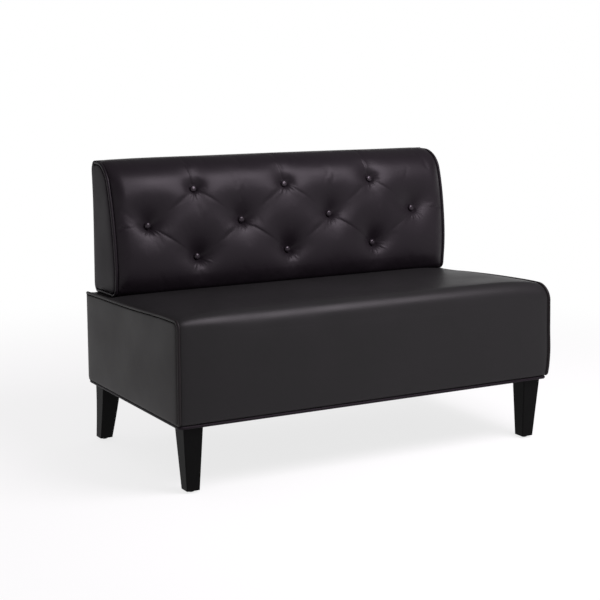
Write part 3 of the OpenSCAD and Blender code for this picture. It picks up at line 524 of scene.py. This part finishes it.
def seatOutline(edge, nose):
    # rear of the top, nose, front face and tuck, as [y, z]; the counts are the same for every nose
    y = np.linspace(seatRear - 0.001, seatFront + nose, seat["topRows"])
    top = np.stack([y, edge(y)], axis=1)
    high = top[-1, 1] - nose
    bend = arcPoints((seatFront + nose, high), nose, 90, 180, seat["noseRows"])[1:]
    z = np.linspace(high, tuckZ, seat["faceRows"])[1:]
    face = np.stack([np.full_like(z, seatFront), z], axis=1)
    r = bench["tuckRadius"]
    tuck = arcPoints((seatFront + r, tuckZ), r, 180, 270, seat["tuckRows"])[1:]
    return np.concatenate([top, bend, face, tuck])


tuckZ = bench["frameFoot"] + bench["tuckRadius"]
seatMiddle = seatOutline(seatEdgeZ, bench["noseRadius"])
seatLeft = seatOutline(curve(seat["stations"], seat["leftEdge"]), seat["leftNose"])
seatRight = seatOutline(curve(seat["stations"], seat["rightEdge"]), seat["rightNose"])


# how far the seat's ends stand out of upright, by height: the right one splays, the left one doesn't
splay = curve(seat["splayHeights"], seat["rightSplay"])
upright = np.zeros_like


def seatSkin():
    # point = outline + normal * height. The outline turns from the middle's into the end's own near an end;
    # the height crowns across the width, swells on the front face and dips beside the piping, though not
    # where the cover turns in under the box
    half = bench["halfWidth"] - seat["edge"]
    x = acrossPoints(half, seat["columns"], 1.3)
    toEnd = half - np.abs(x)
    y = seatMiddle[:, 0]
    underBack = fade((y - pressY + 0.08) / 0.10)
    reach = seat["reach"] + (seat["reachRear"] - seat["reach"]) * underBack
    share = (1 - np.clip(toEnd[None, :] / reach[:, None], 0, 1)) ** 2.2
    end = np.where((x < 0)[None, :, None], seatLeft[:, None], seatRight[:, None])
    line = seatMiddle[:, None] * (1 - share[..., None]) + end * share[..., None]
    normal = outwardNormals(line)
    across = 1 - np.abs(x / half) ** 10
    row = np.arange(len(y))
    press = fade((pressY - y) / seat["pressSpan"])
    topCrown = seat["crown"] * press * fade(1 - (row - noseRow) / (faceRow - noseRow))
    upFace = np.clip((seatMiddle[:, 1] - tuckZ) / (seatMiddle[faceRow, 1] - tuckZ), 0, 1)
    swell = np.where(row >= faceRow, bench["frontSwell"] * np.sin(np.pi * upFace) ** 0.6, 0)
    dip = seat["seamDip"] * np.exp(-toEnd / seat["seamReach"])
    notFoot = np.clip(1 + normal[..., 1], 0, 1)
    height = np.maximum(topCrown, swell)[:, None] * across[None, :] - dip[None, :] * notFoot
    out = np.where(x > 0, 1, 0) * (1 - np.clip(toEnd / seat["splayReach"], 0, 1)) ** 2
    gridX = x[None, :] + splay(line[..., 1]) * out[None, :]
    return np.dstack([gridX, line + normal * height[..., None]])


def makeSeatCover():
    skin = seatSkin()
    underBack = skin[..., 1] > backFace + 0.004
    skin = swollen("seat", skin, rimsHeld(skin, *seat["held"]) | underBack, seat["cloth"])
    rim, top, face = seat["walls"]
    at = [0, seat["thinRows"], noseRow, faceRow, tuckRow, len(skin) - 1]
    wall = np.interp(np.arange(len(skin)), at, [rim, top, top, face, face, rim])
    piece = cushionBody("seatCover", skin, wall)
    dress(piece, leatherSeatPaintedLight)
    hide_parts("seat_top_cover", "seat_foam", "seat_front_pad")


makeSeatCover()
print("seat cover made")

# Back: the outline leans back over the face and rolls over the top
lean = math.radians(bench["lean"])
leanZ = backFoot + bench["leanStart"]
rollZ = crest - bench["rollRadius"] * (1 - math.sin(lean))
leanY = math.tan(lean) * (rollZ - leanZ) / bench["leanPower"]
toeZ = backFoot + bench["toeRadius"]


def faceY(z):
    t = np.clip((z - leanZ) / (rollZ - leanZ), 0, None)
    return backFace + leanY * t ** bench["leanPower"]


backLook = {
    "crown": 0.002,  # of the top, between the ends
    "puff": 0.011,  # of the face, close to the end seams
    "puffReach": 0.038,
    "pillow": 0.004,  # more at the middle of the face
    "bulge": 0.0055,  # more again just under the roll
    "bulgeDrop": 0.095,  # below the crest
    "bulgeReach": 0.038,
    "faceFade": (0.070, 0.060),  # over what height the face begins below the crest, and above the base
    "facePast": 0.002,  # how far past both it ends
    "pillowReach": 0.12,  # how far in from an end the middle begins
    "tuftReach": 0.02,
    "edge": 0.0092,
    "seamDip": 0.0035,
    "seamReach": 0.007,
    "topRows": 14,  # points of the outline: top, roll, face, toe and base
    "rollRows": 26,
    "faceRows": 132,
    "toeRows": 10,
    "baseRows": 10,
    "columns": 441,
    "held": (3, 14),  # rows that the cloth run holds at its rear and at the toe
    "walls": (0.016, 0.034, 0.0016),  # depth of the body at the top's rear, on the face and at the toe
    "thinReach": 0.03,  # over what height it thins to the toe
    "cloth": {"pressure": 4.0, "slack": 0.006, "cap": 0.007, "calm": 2, "share": 0.6},
    "endReach": 0.10,  # how far in an end's own lines are felt
    "heights": (0.446, 0.470, 0.505, 0.560, 0.640, 0.720, 0.780, 0.800, 0.825),
    "rightOut": (-0.0020, -0.0005, 0.0015, 0.0057, 0.0098, 0.0117, 0.0096, 0.0076, 0.0040),
    "leftOut": (-0.0006, -0.0013, -0.0016, -0.0019, -0.0024, -0.0022, -0.0008, -0.0002, 0.0000),
    "leftIn": (0.0100, 0.0075, 0.0045, 0.0030, 0.0025, 0.0030, 0.0040, 0.0050, 0.0060),
    "crestAcross": (-0.56, -0.45, -0.20, 0.05, 0.25, 0.40, 0.50, 0.56),
    "crestRise": (0.0005, 0.0020, 0.0010, 0.0, -0.0015, -0.0030, -0.0035, -0.0040),
}

tufting = {
    "pitch": 0.15075,  # half the spacing of the buttons in a row
    "rows": 0.098,
    "drop": 0.083,  # top row below the crest
    "sinkTop": 0.019,
    "sinkLow": 0.031,
    "pitAbove": 0.041,  # how far a pit reaches upwards, and downwards and aside
    "pitBelow": 0.014,
    "pitRound": 0.35,  # how much rounder its upper side is
    "topPit": 0.68,  # share of that reach round the top row
    "button": 0.0100,  # radius
    "heldRound": 0.003,  # how far round a button the cloth run holds the cover
    "inFront": 0.29,  # Y that the whole face lies in front of
    # creases between diagonal neighbours: depth by the buttons and midway, width below and above
    "rising": (0.0048, 0.0030, 0.0320, 0.0100),
    "falling": (0.0034, 0.0010, 0.0120, 0.0080),
    "sharp": (0.0030, 0.0002, 0.0130, 0.0016),  # the fold in the creases that run down to the right
    "topSharp": 0.4,  # share of that fold below the top row
    "endPleat": (0.0050, 0.0022, 0.0050, 0.0050),
    "topPleat": (0.0016, 0.0026, 0.0150, 0.0016),  # the flap right of the line above a top button
    "topPleatFrom": 0.014,  # above the button
    "topPleatTo": (-0.012, -0.020),  # aside of the button, and from the crest
}

# Wrinkles fan out below each button, mostly to the right, at these angles in degrees
wrinkleLook = {
    "seed": 7,
    "angles": (-124, -104, -84, -64, -44, -24, -4),
    "stray": 9,
    "reach": (0.014, 0.030),
    "height": 0.0032,
    "share": (0.55, 1.0),
    "width": 0.0021,
}
tuftMidZ = crest - tufting["drop"] - tufting["rows"]
buttonSpots = [(a * tufting["pitch"], tuftMidZ + b * tufting["rows"], a, b)
               for b in (-1, 0, 1) for a in range(-3, 4) if (a + b) % 2 != 0]


def backLine():
    # rear seam at the top, roll, leaning face, toe and base, as [y, z], closer on the face
    r = bench["rollRadius"]
    centre = (faceY(rollZ) + r * math.cos(lean), crest - r)
    y = np.linspace(backRear - bench["heelRadius"], centre[0], backLook["topRows"])
    top = np.stack([y, np.full_like(y, crest)], axis=1)
    roll = arcPoints(centre, r, 90, 180 - bench["lean"], backLook["rollRows"])[1:]
    z = np.linspace(rollZ, toeZ, backLook["faceRows"])[1:]
    face = np.stack([faceY(z), z], axis=1)
    toeY = backFace + bench["toeRadius"]
    toe = arcPoints((toeY, toeZ), bench["toeRadius"], 180, 270, backLook["toeRows"])[1:]
    base = np.linspace(toeY, backRear - bench["heelRadius"], backLook["baseRows"])[1:]
    return np.concatenate([top, roll, face, toe, np.stack([base, np.full_like(base, backFoot)], axis=1)])


def fold(x, z, start, end, shape, blunt=1.0, bow=0.0, fading=False):
    # a crease from start to end: its depth falls from the ends to the middle, or if fading from the start
    # to the end, and away from its line, with a width of its own below the line and above it
    near, mid, below, above = shape
    sx, sz = end[0] - start[0], end[1] - start[1]
    length = math.hypot(sx, sz)
    t = ((x - start[0]) * sx + (z - start[1]) * sz) / length ** 2
    along = np.clip(t, 0, 1)
    off = ((x - start[0]) * sz - (z - start[1]) * sx) / length + bow * np.sin(np.pi * along)
    past = np.maximum(np.maximum(-t, t - 1), 0) * length
    level = mid + (near - mid) * (1 - along if fading else np.abs(2 * along - 1)) ** 1.6
    return level * np.exp(-(np.abs(off) / np.where(off < 0, above, below)) ** blunt) * np.exp(-past / above)


def tuftDepth(x, z):
    # how far the cover is drawn in: a pit round each button, creases between diagonal neighbours,
    # pleats from the outer buttons to the ends and from the top row to the roll, added as a soft maximum
    parts, sharp = [], 0
    spots = {(a, b): (bx, bz) for bx, bz, a, b in buttonSpots}
    lineUp, aside, under = tufting["topPleatFrom"], *tufting["topPleatTo"]
    for (a, b), (bx, bz) in spots.items():
        r = np.hypot(x - bx, z - bz)
        up = fade(0.5 + 0.5 * (z - bz) / np.maximum(r, 1e-6)) ** 1.7
        above = tufting["pitAbove"] * (tufting["topPit"] if b == 1 else 1.0)
        reach = tufting["pitBelow"] + (above - tufting["pitBelow"]) * up
        power = 0.95 + tufting["pitRound"] * up
        sink = tufting["sinkLow"] + (tufting["sinkTop"] - tufting["sinkLow"]) * (b + 1) / 2
        parts.append(sink * np.exp(-(np.maximum(r - tufting["button"], 0) / reach) ** power))
        if (a + 1, b + 1) in spots:
            parts.append(fold(x, z, (bx, bz), spots[(a + 1, b + 1)], tufting["rising"], 1.4, -0.002))
        if (a + 1, b - 1) in spots:
            low = spots[(a + 1, b - 1)]
            parts.append(fold(x, z, (bx, bz), low, tufting["falling"], 1.4, 0.001))
            share = tufting["topSharp"] if b == 1 else 1.0
            sharp += share * fold(x, z, (bx, bz), low, tufting["sharp"], 1.0, 0.0015, True)
        if abs(a) == 3:
            end = (math.copysign(backHalf - 0.004, a), bz - 0.002)
            parts.append(fold(x, z, (bx, bz), end, tufting["endPleat"]))
        if b == 1:
            start, stop = (bx, bz + lineUp), (bx + aside, crest + under)
            sharp -= fold(x, z, start, stop, tufting["topPleat"], fading=True)
    return sum(part ** 3 for part in parts) ** (1 / 3) + sharp


def wrinkles(x, z):
    # short ridges that fan out below each button, drawn from a fixed seed
    luck = np.random.default_rng(wrinkleLook["seed"])
    stray = wrinkleLook["stray"]
    height = np.zeros_like(x)
    for bx, bz, a, b in buttonSpots:
        for angle in wrinkleLook["angles"]:
            tilt = math.radians(angle + luck.uniform(-stray, stray))
            reach = luck.uniform(*wrinkleLook["reach"])
            strength = wrinkleLook["height"] * luck.uniform(*wrinkleLook["share"])
            along = (x - bx) * math.cos(tilt) + (z - bz) * math.sin(tilt)
            off = (x - bx) * math.sin(tilt) - (z - bz) * math.cos(tilt)
            run = (along - tufting["button"]) / reach
            height += strength * fade(run * 5) * fade(1.2 - run) * np.exp(-(off / wrinkleLook["width"]) ** 2)
    return height


def backSkin():
    # point = outline + normal * (puff - tuft depth + wrinkles), with the dip along the piping;
    # each end's own bow is added to x
    line = backLine()
    normal = outwardNormals(line)
    half = backHalf - backLook["edge"]
    x = acrossPoints(half, backLook["columns"], 1.1)
    toEnd = half - np.abs(x)
    gridX, row = np.meshgrid(x, np.arange(len(line)))
    gridZ = line[row, 1]
    high, low = backLook["faceFade"]
    past = backLook["facePast"]
    onFace = fade((crest + past - line[:, 1]) / high) * fade((line[:, 1] - backFoot + past) / low)
    onFace = onFace[:, None]
    onTop = (line[:, 1] > crest - bench["rollRadius"])[:, None]
    notBase = (normal[:, 1] > -0.6)[:, None]
    rise = 1 - (1 - np.clip(toEnd / backLook["puffReach"], 0, 1))[None, :] ** 2.2
    puff = (backLook["crown"] * onTop * (1 - onFace) + backLook["puff"] * onFace) * rise
    pillow = backLook["pillow"] * onFace * fade(toEnd / backLook["pillowReach"])[None, :]
    under = (crest - gridZ - backLook["bulgeDrop"]) / backLook["bulgeReach"]
    pillow = pillow + backLook["bulge"] * np.exp(-under ** 2) * onFace * rise
    dip = backLook["seamDip"] * np.exp(-toEnd / backLook["seamReach"])[None, :] * notBase
    drawn = fade(onFace * 1.6) * fade(toEnd / backLook["tuftReach"])[None, :]
    tuft = tuftDepth(gridX, gridZ) * drawn
    height = puff + pillow - tuft - dip + wrinkles(gridX, gridZ) * (onFace * rise)
    end = (1 - np.clip(toEnd / backLook["endReach"], 0, 1))[None, :] ** 2
    bow = np.where(gridX > 0, bowRight(gridZ), -bowLeft(gridZ)) * end
    back = np.where(gridX < 0, endBack(gridZ), 0.0) * end * onFront(line)[:, None]
    return np.stack([gridX + bow, line[row, 0] + back + normal[row, 0] * height,
                     gridZ + crestLift(gridX, gridZ) + normal[row, 1] * height], axis=-1)


# how far the ends of the back stand out of upright, by height; the left one is a little hollow, and its
# seam lies behind the outline
bowRight = curve(backLook["heights"], backLook["rightOut"])
bowLeft = curve(backLook["heights"], backLook["leftOut"])
endBack = curve(backLook["heights"], backLook["leftIn"])


def onFront(line):
    # 1 on the face, falling to 0 at the rear of the top and of the base
    return fade((backRear - 0.02 - line[:, 0]) / 0.09)


def crestLift(x, z):
    # how much the top climbs to the left and falls to the right
    return through(x, backLook["crestAcross"], backLook["crestRise"]) * fade((z - crest + 0.09) / 0.09)


def nearButton(points, bx, bz, reach):
    # which points of the face lie within reach of a button's middle
    far = np.hypot(points[..., 0] - bx, points[..., 2] - bz)
    return (far < reach) & (points[..., 1] < tufting["inFront"])


def makeBackCover():
    skin = backSkin()
    held = rimsHeld(skin, *backLook["held"])
    for bx, bz, a, b in buttonSpots:
        held |= nearButton(skin, bx, bz, tufting["button"] + tufting["heldRound"])
    skin = swollen("back", skin, held, backLook["cloth"])
    line = backLine()
    rim, full, thin = backLook["walls"]
    low = np.interp(line[:, 1], [toeZ, toeZ + backLook["thinReach"]], [thin, full])
    topEnd = backLook["topRows"] - 1
    high = np.interp(np.arange(len(skin)), [topEnd, topEnd + backLook["rollRows"] - 1], [rim, full])
    piece = cushionBody("backCover", skin, np.where(line[:, 1] > rollZ, high, low))
    dress(piece, leather)
    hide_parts("back_front_cover", "back_foam")
    return skin


backSurface = makeBackCover()
print("back cover made")


# Panels: flat covers over a pad, slightly swollen, whose edges turn in at the seams
panelLook = {
    # sizes of the rings, of the outline's own; closer at the rim, where the cover turns
    "rings": (1.0, 0.996, 0.99, 0.98, 0.965, 0.945, 0.92, 0.88, 0.82, 0.74, 0.64, 0.52, 0.4, 0.28, 0.16,
              0.06),
    "soften": 0.15,  # metres over which the innermost rings lose the outline's corners
    "rimDip": 0.0030,
    "arcRows": 12,
}


def panel(name, outline, x, side, swell, thick, bow):
    # rings shrink from the outline to its middle, smoothed the further in they lie, while the face swells
    # outwards; bow(z) leans the whole panel
    outline = closedLine(outline, panelStep)
    middle = outline.mean(axis=0)
    levels = np.array(panelLook["rings"])
    count = len(outline)
    waves = np.fft.fft(outline[:, 0] + 1j * outline[:, 1])
    turns = np.fft.fftfreq(count, panelStep)
    blur = np.pi * turns * panelLook["soften"] * (1 - levels[:, None])
    soft = np.fft.ifft(waves * np.exp(-2 * blur ** 2))
    rings = middle + (np.stack([soft.real, soft.imag], axis=-1) - middle) * levels[:, None, None]
    bulge = swell * (1 - levels ** 8) - panelLook["rimDip"] * levels ** 90
    face = side * (x + bulge[:, None] + bow(rings[..., 1]))
    outer = np.concatenate([face[..., None], rings], axis=2)
    rim = np.column_stack([side * (x - thick + bow(outline[:, 1])), outline])[None]
    stack = np.concatenate([rim, outer])
    faces = gridFaces(len(stack), count, wrap=True).tolist()
    last = stack[..., 0].size
    tip = [[side * (x + swell + bow(middle[1])), *middle], [side * (x - thick + bow(middle[1])), *middle]]
    verts = np.concatenate([stack.reshape(-1, 3), tip])
    top = (len(stack) - 1) * count
    faces += [[top + i, top + (i + 1) % count, last] for i in range(count)]
    faces += [[(i + 1) % count, i, last + 1] for i in range(count)]
    return meshPiece(name, verts, faces)


# the two ends: side, name, the seat's seam, how the seat and the back bow
ends = ((-1, "Left", seatLeft, upright, bowLeft), (1, "Right", seatRight, splay, bowRight))

seatSideLook = {
    "swell": 0.0025,
    "thick": 0.0095,
    "low": 0.0007,  # lower edge above the frame's foot
    "rear": 0.001,  # rear edge in front of the seat's rear
    "rearCorner": 0.012,
    "frontCorner": 0.006,
}


def makeSeatSides():
    low = bench["frameFoot"] + seatSideLook["low"]
    rear = seatRear - seatSideLook["rear"]
    r, s = seatSideLook["rearCorner"], seatSideLook["frontCorner"]
    for side, tag, seam, bow, backBow in ends:
        line = resample(seam, panelStep)
        edge = inwards(line, bench["piping"] + bench["gap"])
        edge = edge[(line[:, 1] > low + r) & (edge[:, 0] < rear)]
        corner = arcPoints((rear - r, low + r), r, 270, 360, 8)
        front = arcPoints((seatFront + bench["piping"] + s + 0.001, low + s), s, 180, 270, 5)
        outline = np.concatenate([edge, front, corner, [[rear, edge[0, 1] - 0.002]]])
        piece = panel("seatSide" + tag, outline, bench["halfWidth"], side, seatSideLook["swell"],
                      seatSideLook["thick"], bow)
        dress(piece, leatherSides)
        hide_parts("seat_side_cover_" + tag.lower(), "seat_side_pad_" + tag.lower())


makeSeatSides()


def endLine(side):
    # the seam line of one end, with that end's own set-back and crest
    line = backLine()
    shift = endBack(line[:, 1]) * onFront(line) if side < 0 else 0
    lift = crestLift(np.full(len(line), side * backHalf), line[:, 1])
    return np.column_stack([line[:, 0] + shift, line[:, 1] + lift])


backEndLook = {"swell": 0.0030, "thick": 0.0072, "inset": 0.001}


def heelArcs(r):
    # the rounded rear edges of the back, at its foot and at its top, with a radius of r
    heel = bench["heelRadius"]
    low = arcPoints((backRear - heel, backFoot + heel), r, 270, 360, panelLook["arcRows"])
    high = arcPoints((backRear - heel, crest - heel), r, 0, 90, panelLook["arcRows"])
    return low, high


def makeBackEnds():
    low, high = heelArcs(bench["heelRadius"] - backEndLook["inset"])
    for side, tag, seam, seatBow, bow in ends:
        edge = inwards(resample(endLine(side), panelStep), bench["piping"] + bench["gap"])
        lift = crestLift(np.full(len(high), side * backHalf), high[:, 1])
        outline = np.concatenate([edge, low, high + np.column_stack([np.zeros_like(lift), lift])])
        piece = panel("backEnd" + tag, outline, backHalf, side, backEndLook["swell"],
                      backEndLook["thick"], bow)
        dress(piece, leatherEnds)
        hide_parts("back_end_cover_" + tag.lower(), "back_end_pad_" + tag.lower())


makeBackEnds()
print("end panels made")


# Rear panels: rounded at the heel, drawn tight between the seams
rearLook = {"columns": 121, "swell": 0.002, "edge": 0.0025, "thick": 0.0016, "footRows": 10}


def rearPanel(name, line, half, bows, *nodes):
    # point = line + normal * swell, the swell full in the middle and none at the rim; the ends follow the
    # bows of the two end panels
    line = resample(line, rearStep)
    normal = -outwardNormals(line)
    half -= rearLook["edge"]
    x = np.linspace(-half, half, rearLook["columns"])
    run = np.linspace(0, 1, len(line))
    rise, across = np.sin(np.pi * run) ** 0.5, 1 - np.abs(x / half) ** 12
    height = rearLook["swell"] * rise[:, None] * across[None, :]
    left, right = (bow(line[:, 1:2]) for bow in bows)
    gridX = x[None, :] + right * np.clip(x / half, 0, 1) ** 6 - left * np.clip(-x / half, 0, 1) ** 6
    gridZ = line[:, 1:2] + normal[:, 1:2] * height
    gridY = line[:, 0:1] + normal[:, 0:1] * height
    points = np.stack([gridX, gridY, gridZ + crestLift(gridX, gridZ)], axis=-1)
    piece = closedSheet(name, points[::-1], rearLook["thick"])
    dress(piece, leather)
    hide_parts(*nodes)


def makeRearPanels():
    rearPanel("backRear", np.concatenate(heelArcs(bench["heelRadius"])), backHalf, (bowLeft, bowRight),
              "back_rear_cover")
    t = bench["tuckRadius"]
    foot = arcPoints((seatRear - t, bench["frameFoot"] + t), t, 270, 360, rearLook["footRows"])
    rearPanel("seatRear", np.concatenate([foot, [[seatRear, bench["seatEdge"]]]]), bench["halfWidth"],
              (upright, splay), "seat_rear_cover", "seat_rear_pad")


makeRearPanels()
print("rear panels made")


# Piping: a cord in a folded strip, carried along the seams and round the base
pipingLook = {
    "sides": 18,
    "ripple": 0.012,  # share of the radius that the strip's gathers take off or add
    "waves": (0.017, 0.071),
    "tail": (0.004, 0.008, 0.012),  # points past the end of the seat's seam, under the box
}


def tube(name, path, radius, up, closed=False):
    # rings square to a path, whose radius ripples; a closed path joins its ends, an open one is capped
    loopWay = np.roll(path, -1, axis=0) - np.roll(path, 1, axis=0)
    along = unit(loopWay if closed else np.gradient(path, axis=0))
    side = unit(np.cross(along, up))
    other = np.cross(side, along)
    sides, depth = pipingLook["sides"], pipingLook["ripple"]
    short, long = pipingLook["waves"]
    a = np.linspace(0, 2 * np.pi, sides, endpoint=False)
    ring = side[:, None] * np.cos(a)[None, :, None] + other[:, None] * np.sin(a)[None, :, None]
    run = np.r_[0, np.cumsum(np.linalg.norm(np.diff(path, axis=0), axis=1))]
    ripple = 1 + depth * np.sin(run * 2 * np.pi / short) * np.sin(run * 2 * np.pi / long) - depth
    verts = (path[:, None] + ring * (radius * ripple)[:, None, None]).reshape(-1, 3)
    faces = gridFaces(len(path), sides, wrap=True).tolist()
    count = len(verts)
    base = (len(path) - 1) * sides
    if closed:
        faces += [[base + i, base + (i + 1) % sides, (i + 1) % sides, i] for i in range(sides)]
        return meshPiece(name, verts, faces)
    verts = np.concatenate([verts, path[:1], path[-1:]])
    faces += [[(i + 1) % sides, i, count] for i in range(sides)]
    faces += [[base + i, base + (i + 1) % sides, count + 1] for i in range(sides)]
    return meshPiece(name, verts, faces)


def makeWelt(name, path, x, side, bow, material, node):
    # a welt along the seam of one end, leaning with that end's bow
    line = np.column_stack([side * (x + bow(path[:, 1])), path])
    piece = tube(name, line, bench["piping"] / 2, (1, 0, 0))
    dress(piece, material)
    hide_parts(node)


def makePiping():
    r = bench["piping"] / 2
    for side, tag, seam, seatBow, backBow in ends:
        path = inwards(resample(seam, pipingStep), r)
        path = np.concatenate([path, path[-1] + np.array([[step, 0] for step in pipingLook["tail"]])])
        makeWelt("seatPiping" + tag, path, bench["halfWidth"] - r, side, seatBow, leatherSides,
                 "seat_welt_" + tag.lower())
        path = inwards(resample(endLine(side), pipingStep), r)
        makeWelt("backPiping" + tag, path, backHalf - r, side, backBow, leather,
                 "back_welt_" + tag.lower())


baseLook = {"inset": 0.0055, "bend": 0.008, "radius": 0.0045, "nestle": 0.0010}


def makeBasePiping():
    # a rounded rectangle just under the box, one closed cord, drawn up against the turned-in covers
    x = bench["halfWidth"] - baseLook["inset"]
    front, rear = seatFront + baseLook["inset"], seatRear - baseLook["inset"]
    b = baseLook["bend"]
    corners = ((x - b, rear - b), (b - x, rear - b), (b - x, front + b), (x - b, front + b))
    loop = np.concatenate([arcPoints(centre, b, 90 * i, 90 * i + 90, 9) for i, centre in enumerate(corners)])
    loop = closedLine(loop, pipingStep)
    z = bench["frameFoot"] - bench["gap"] - baseLook["radius"] + baseLook["nestle"]
    path = np.column_stack([loop, np.full(len(loop), z)])
    piece = tube("basePiping", path, baseLook["radius"], (0, 0, 1), closed=True)
    dress(piece, leatherEnds)
    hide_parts("base_cord")


makePiping()
makeBasePiping()
print("piping made")


# Dust cloth: spunbond stapled under the frame, which hangs a little between its edges
dustLook = {
    "edge": 0.0103,
    "points": (121, 65),
    "thick": 0.0008,
    "below": 0.0005,  # the frame
    "sag": 0.003,
    "sagFrom": 0.09,  # where the sag begins, from the rim, and how far in it still grows
    "margin": 0.10,
    "pucker": 0.0006,
    "staples": 0.047,  # apart
}


def makeDustCloth():
    # height = frame's underside - sag, the sag none at the rim and full a hand's breadth in
    half = bench["halfWidth"] - dustLook["edge"]
    front, rear = seatFront + dustLook["edge"], seatRear - dustLook["edge"]
    across, deep = dustLook["points"]
    x, y = np.meshgrid(np.linspace(-half, half, across), np.linspace(rear, front, deep))
    rim = np.minimum(half - np.abs(x), np.minimum(y - front, rear - y))
    pucker = dustLook["pucker"] * np.sin(x * 2 * np.pi / dustLook["staples"])
    pucker = pucker * np.exp(-rim / 0.03) * fade(rim / 0.012)
    sag = dustLook["sag"] * fade((rim - dustLook["sagFrom"]) / dustLook["margin"])
    z = bench["frameFoot"] - dustLook["below"] - sag - np.abs(pucker) * 0.2
    piece = closedSheet("dustCloth", np.stack([x, y, z], axis=-1), dustLook["thick"])
    dress(piece, spunCloth)
    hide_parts("dust_cover")


makeDustCloth()
print("dust cloth made")


# Buttons: covered moulds, drawn in by the twine
buttonLook = {
    "profile": ((0, -0.0010), (0.6, -0.0010), (0.86, -0.0006), (0.96, 0.0006), (1.0, 0.0022), (0.98, 0.0036),
                (0.90, 0.0050), (0.74, 0.0062), (0.52, 0.0070), (0.26, 0.0074), (0, 0.0075)),
    "sides": 32,
    "sunk": 0.0006,  # how far its rim sinks into the cover
}


def makeButtons():
    # a turned profile, set square to the mean plane of the cover round each button
    profile = np.array(buttonLook["profile"])
    a = np.linspace(0, 2 * np.pi, buttonLook["sides"], endpoint=False)
    verts, faces, count = [], [], 0
    points = backSurface.reshape(-1, 3)
    for bx, bz, *others in buttonSpots:
        near = points[nearButton(points, bx, bz, tufting["button"])]
        middle = near.mean(axis=0)
        slope = np.polyfit(near[:, 2] - middle[2], near[:, 1] - middle[1], 1)[0]
        out = np.array([0, -1.0, slope]) / math.hypot(1.0, slope)
        lift = ((near - middle) @ out).max() - buttonLook["sunk"]
        up = np.array([0, out[2], -out[1]])
        ring = np.array([1.0, 0, 0])[None] * np.cos(a)[:, None] + up[None] * np.sin(a)[:, None]
        centre = middle + out * lift
        wide = (profile[:, 0] * tufting["button"])[:, None, None]
        body = centre + ring[None] * wide + out * profile[:, 1][:, None, None]
        verts.append(body.reshape(-1, 3))
        faces += (gridFaces(len(profile), len(a), wrap=True) + count).tolist()
        count += len(verts[-1])
    piece = meshPiece("tuftButtons", np.concatenate(verts), faces)
    dress(piece, leatherTaut)
    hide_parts("tuft_buttons")


makeButtons()
print("buttons made")


# Stage: a floor and a room of plain white, which camera, glossy and transmission rays see; near the bench
# the floor keeps a share of its own light, so that the shadow stays
stage = {
    "floor": "#f2f2f2",
    "ownShare": 0.22,
    "ownReach": (1.1, 2.6),  # metres from the bench where that share begins to fade and is gone
    "white": 1.0,
    "room": (0.32, 0.66),  # what diffuse rays see near the floor, and overhead
    "roomTint": "#fff8ff",
    "ceiling": 0.18,  # the white's strength overhead, for glossy rays
    "ceilingFrom": (0.15, 0.32),  # where it fades to that, as the sine of the height above the horizon
}


def seenPlainly(tree):
    # 1 for camera, glossy and transmission rays
    path = addNode(tree, "LightPath")
    seen = path.outputs["Is Camera Ray"]
    for kind in ("Is Glossy Ray", "Is Transmission Ray"):
        seen = addNode(tree, "Math", {0: seen, 1: path.outputs[kind]}, operation="MAXIMUM").outputs[0]
    return seen


def makeFloor():
    material, tree = newMaterial("pale_floor")
    place = addNode(tree, "TexCoord").outputs["Object"]
    far = addNode(tree, "VectorMath", {0: place}, operation="LENGTH").outputs["Value"]
    near, gone = stage["ownReach"]
    keep = scaled(tree, far, near, gone, 1 - stage["ownShare"], 1.0, "SMOOTHSTEP")
    plain = addNode(tree, "Emission", {"Color": (1, 1, 1, 1), "Strength": stage["white"]})
    lit = addNode(tree, "BsdfDiffuse", {"Color": hexColour(stage["floor"])})
    share = addNode(tree, "Math", {0: seenPlainly(tree), 1: keep}, operation="MULTIPLY")
    mix = addNode(tree, "MixShader", {0: share.outputs[0], 1: lit.outputs[0], 2: plain.outputs[0]})
    addNode(tree, "OutputMaterial", {"Surface": mix.outputs[0]})
    data = bpy.data.meshes.new("floor")
    data.from_pydata([(-15, -15, 0), (15, -15, 0), (15, 15, 0), (-15, 15, 0)], [], [(0, 1, 2, 3)])
    data.materials.append(material)
    floor = addObject("floor", data)


makeFloor()


def makeWorld():
    world = bpy.data.worlds.new("studio")
    world.use_nodes = True
    tree = world.node_tree
    tree.nodes.clear()
    way = addNode(tree, "TexCoord").outputs["Generated"]
    height = addNode(tree, "SeparateXYZ", {"Vector": way}).outputs["Z"]
    low, high = stage["ceilingFrom"]
    bright = scaled(tree, height, low, high, stage["white"], stage["ceiling"])
    soft = scaled(tree, height, 0.0, 1.0, *stage["room"])
    white = addNode(tree, "Background", {"Color": (1, 1, 1, 1), "Strength": bright})
    room = addNode(tree, "Background", {"Color": hexColour(stage["roomTint"]), "Strength": soft})
    mix = addNode(tree, "MixShader", {0: seenPlainly(tree), 1: room.outputs[0], 2: white.outputs[0]})
    addNode(tree, "OutputWorld", {"Surface": mix.outputs[0]})
    scene.world = world


makeWorld()


def makeLight(name, place, target, size, power, colour):
    data = bpy.data.lights.new(name, "AREA")
    data.shape = "RECTANGLE"
    data.size, data.size_y = size
    data.energy = power
    data.color = hexColour(colour)[:3]
    lamp = addObject(name, data)
    lamp.location = place
    lamp.rotation_euler = (Vector(target) - Vector(place)).to_track_quat("-Z", "Y").to_euler()


makeLight("softboxKey", (0.68, -1.25, 2.1), (0.05, 0.0, 0.55), (1.35, 1.2), 62, "#fff7ff")
print("stage ready")

scene.view_settings.view_transform = "Standard"
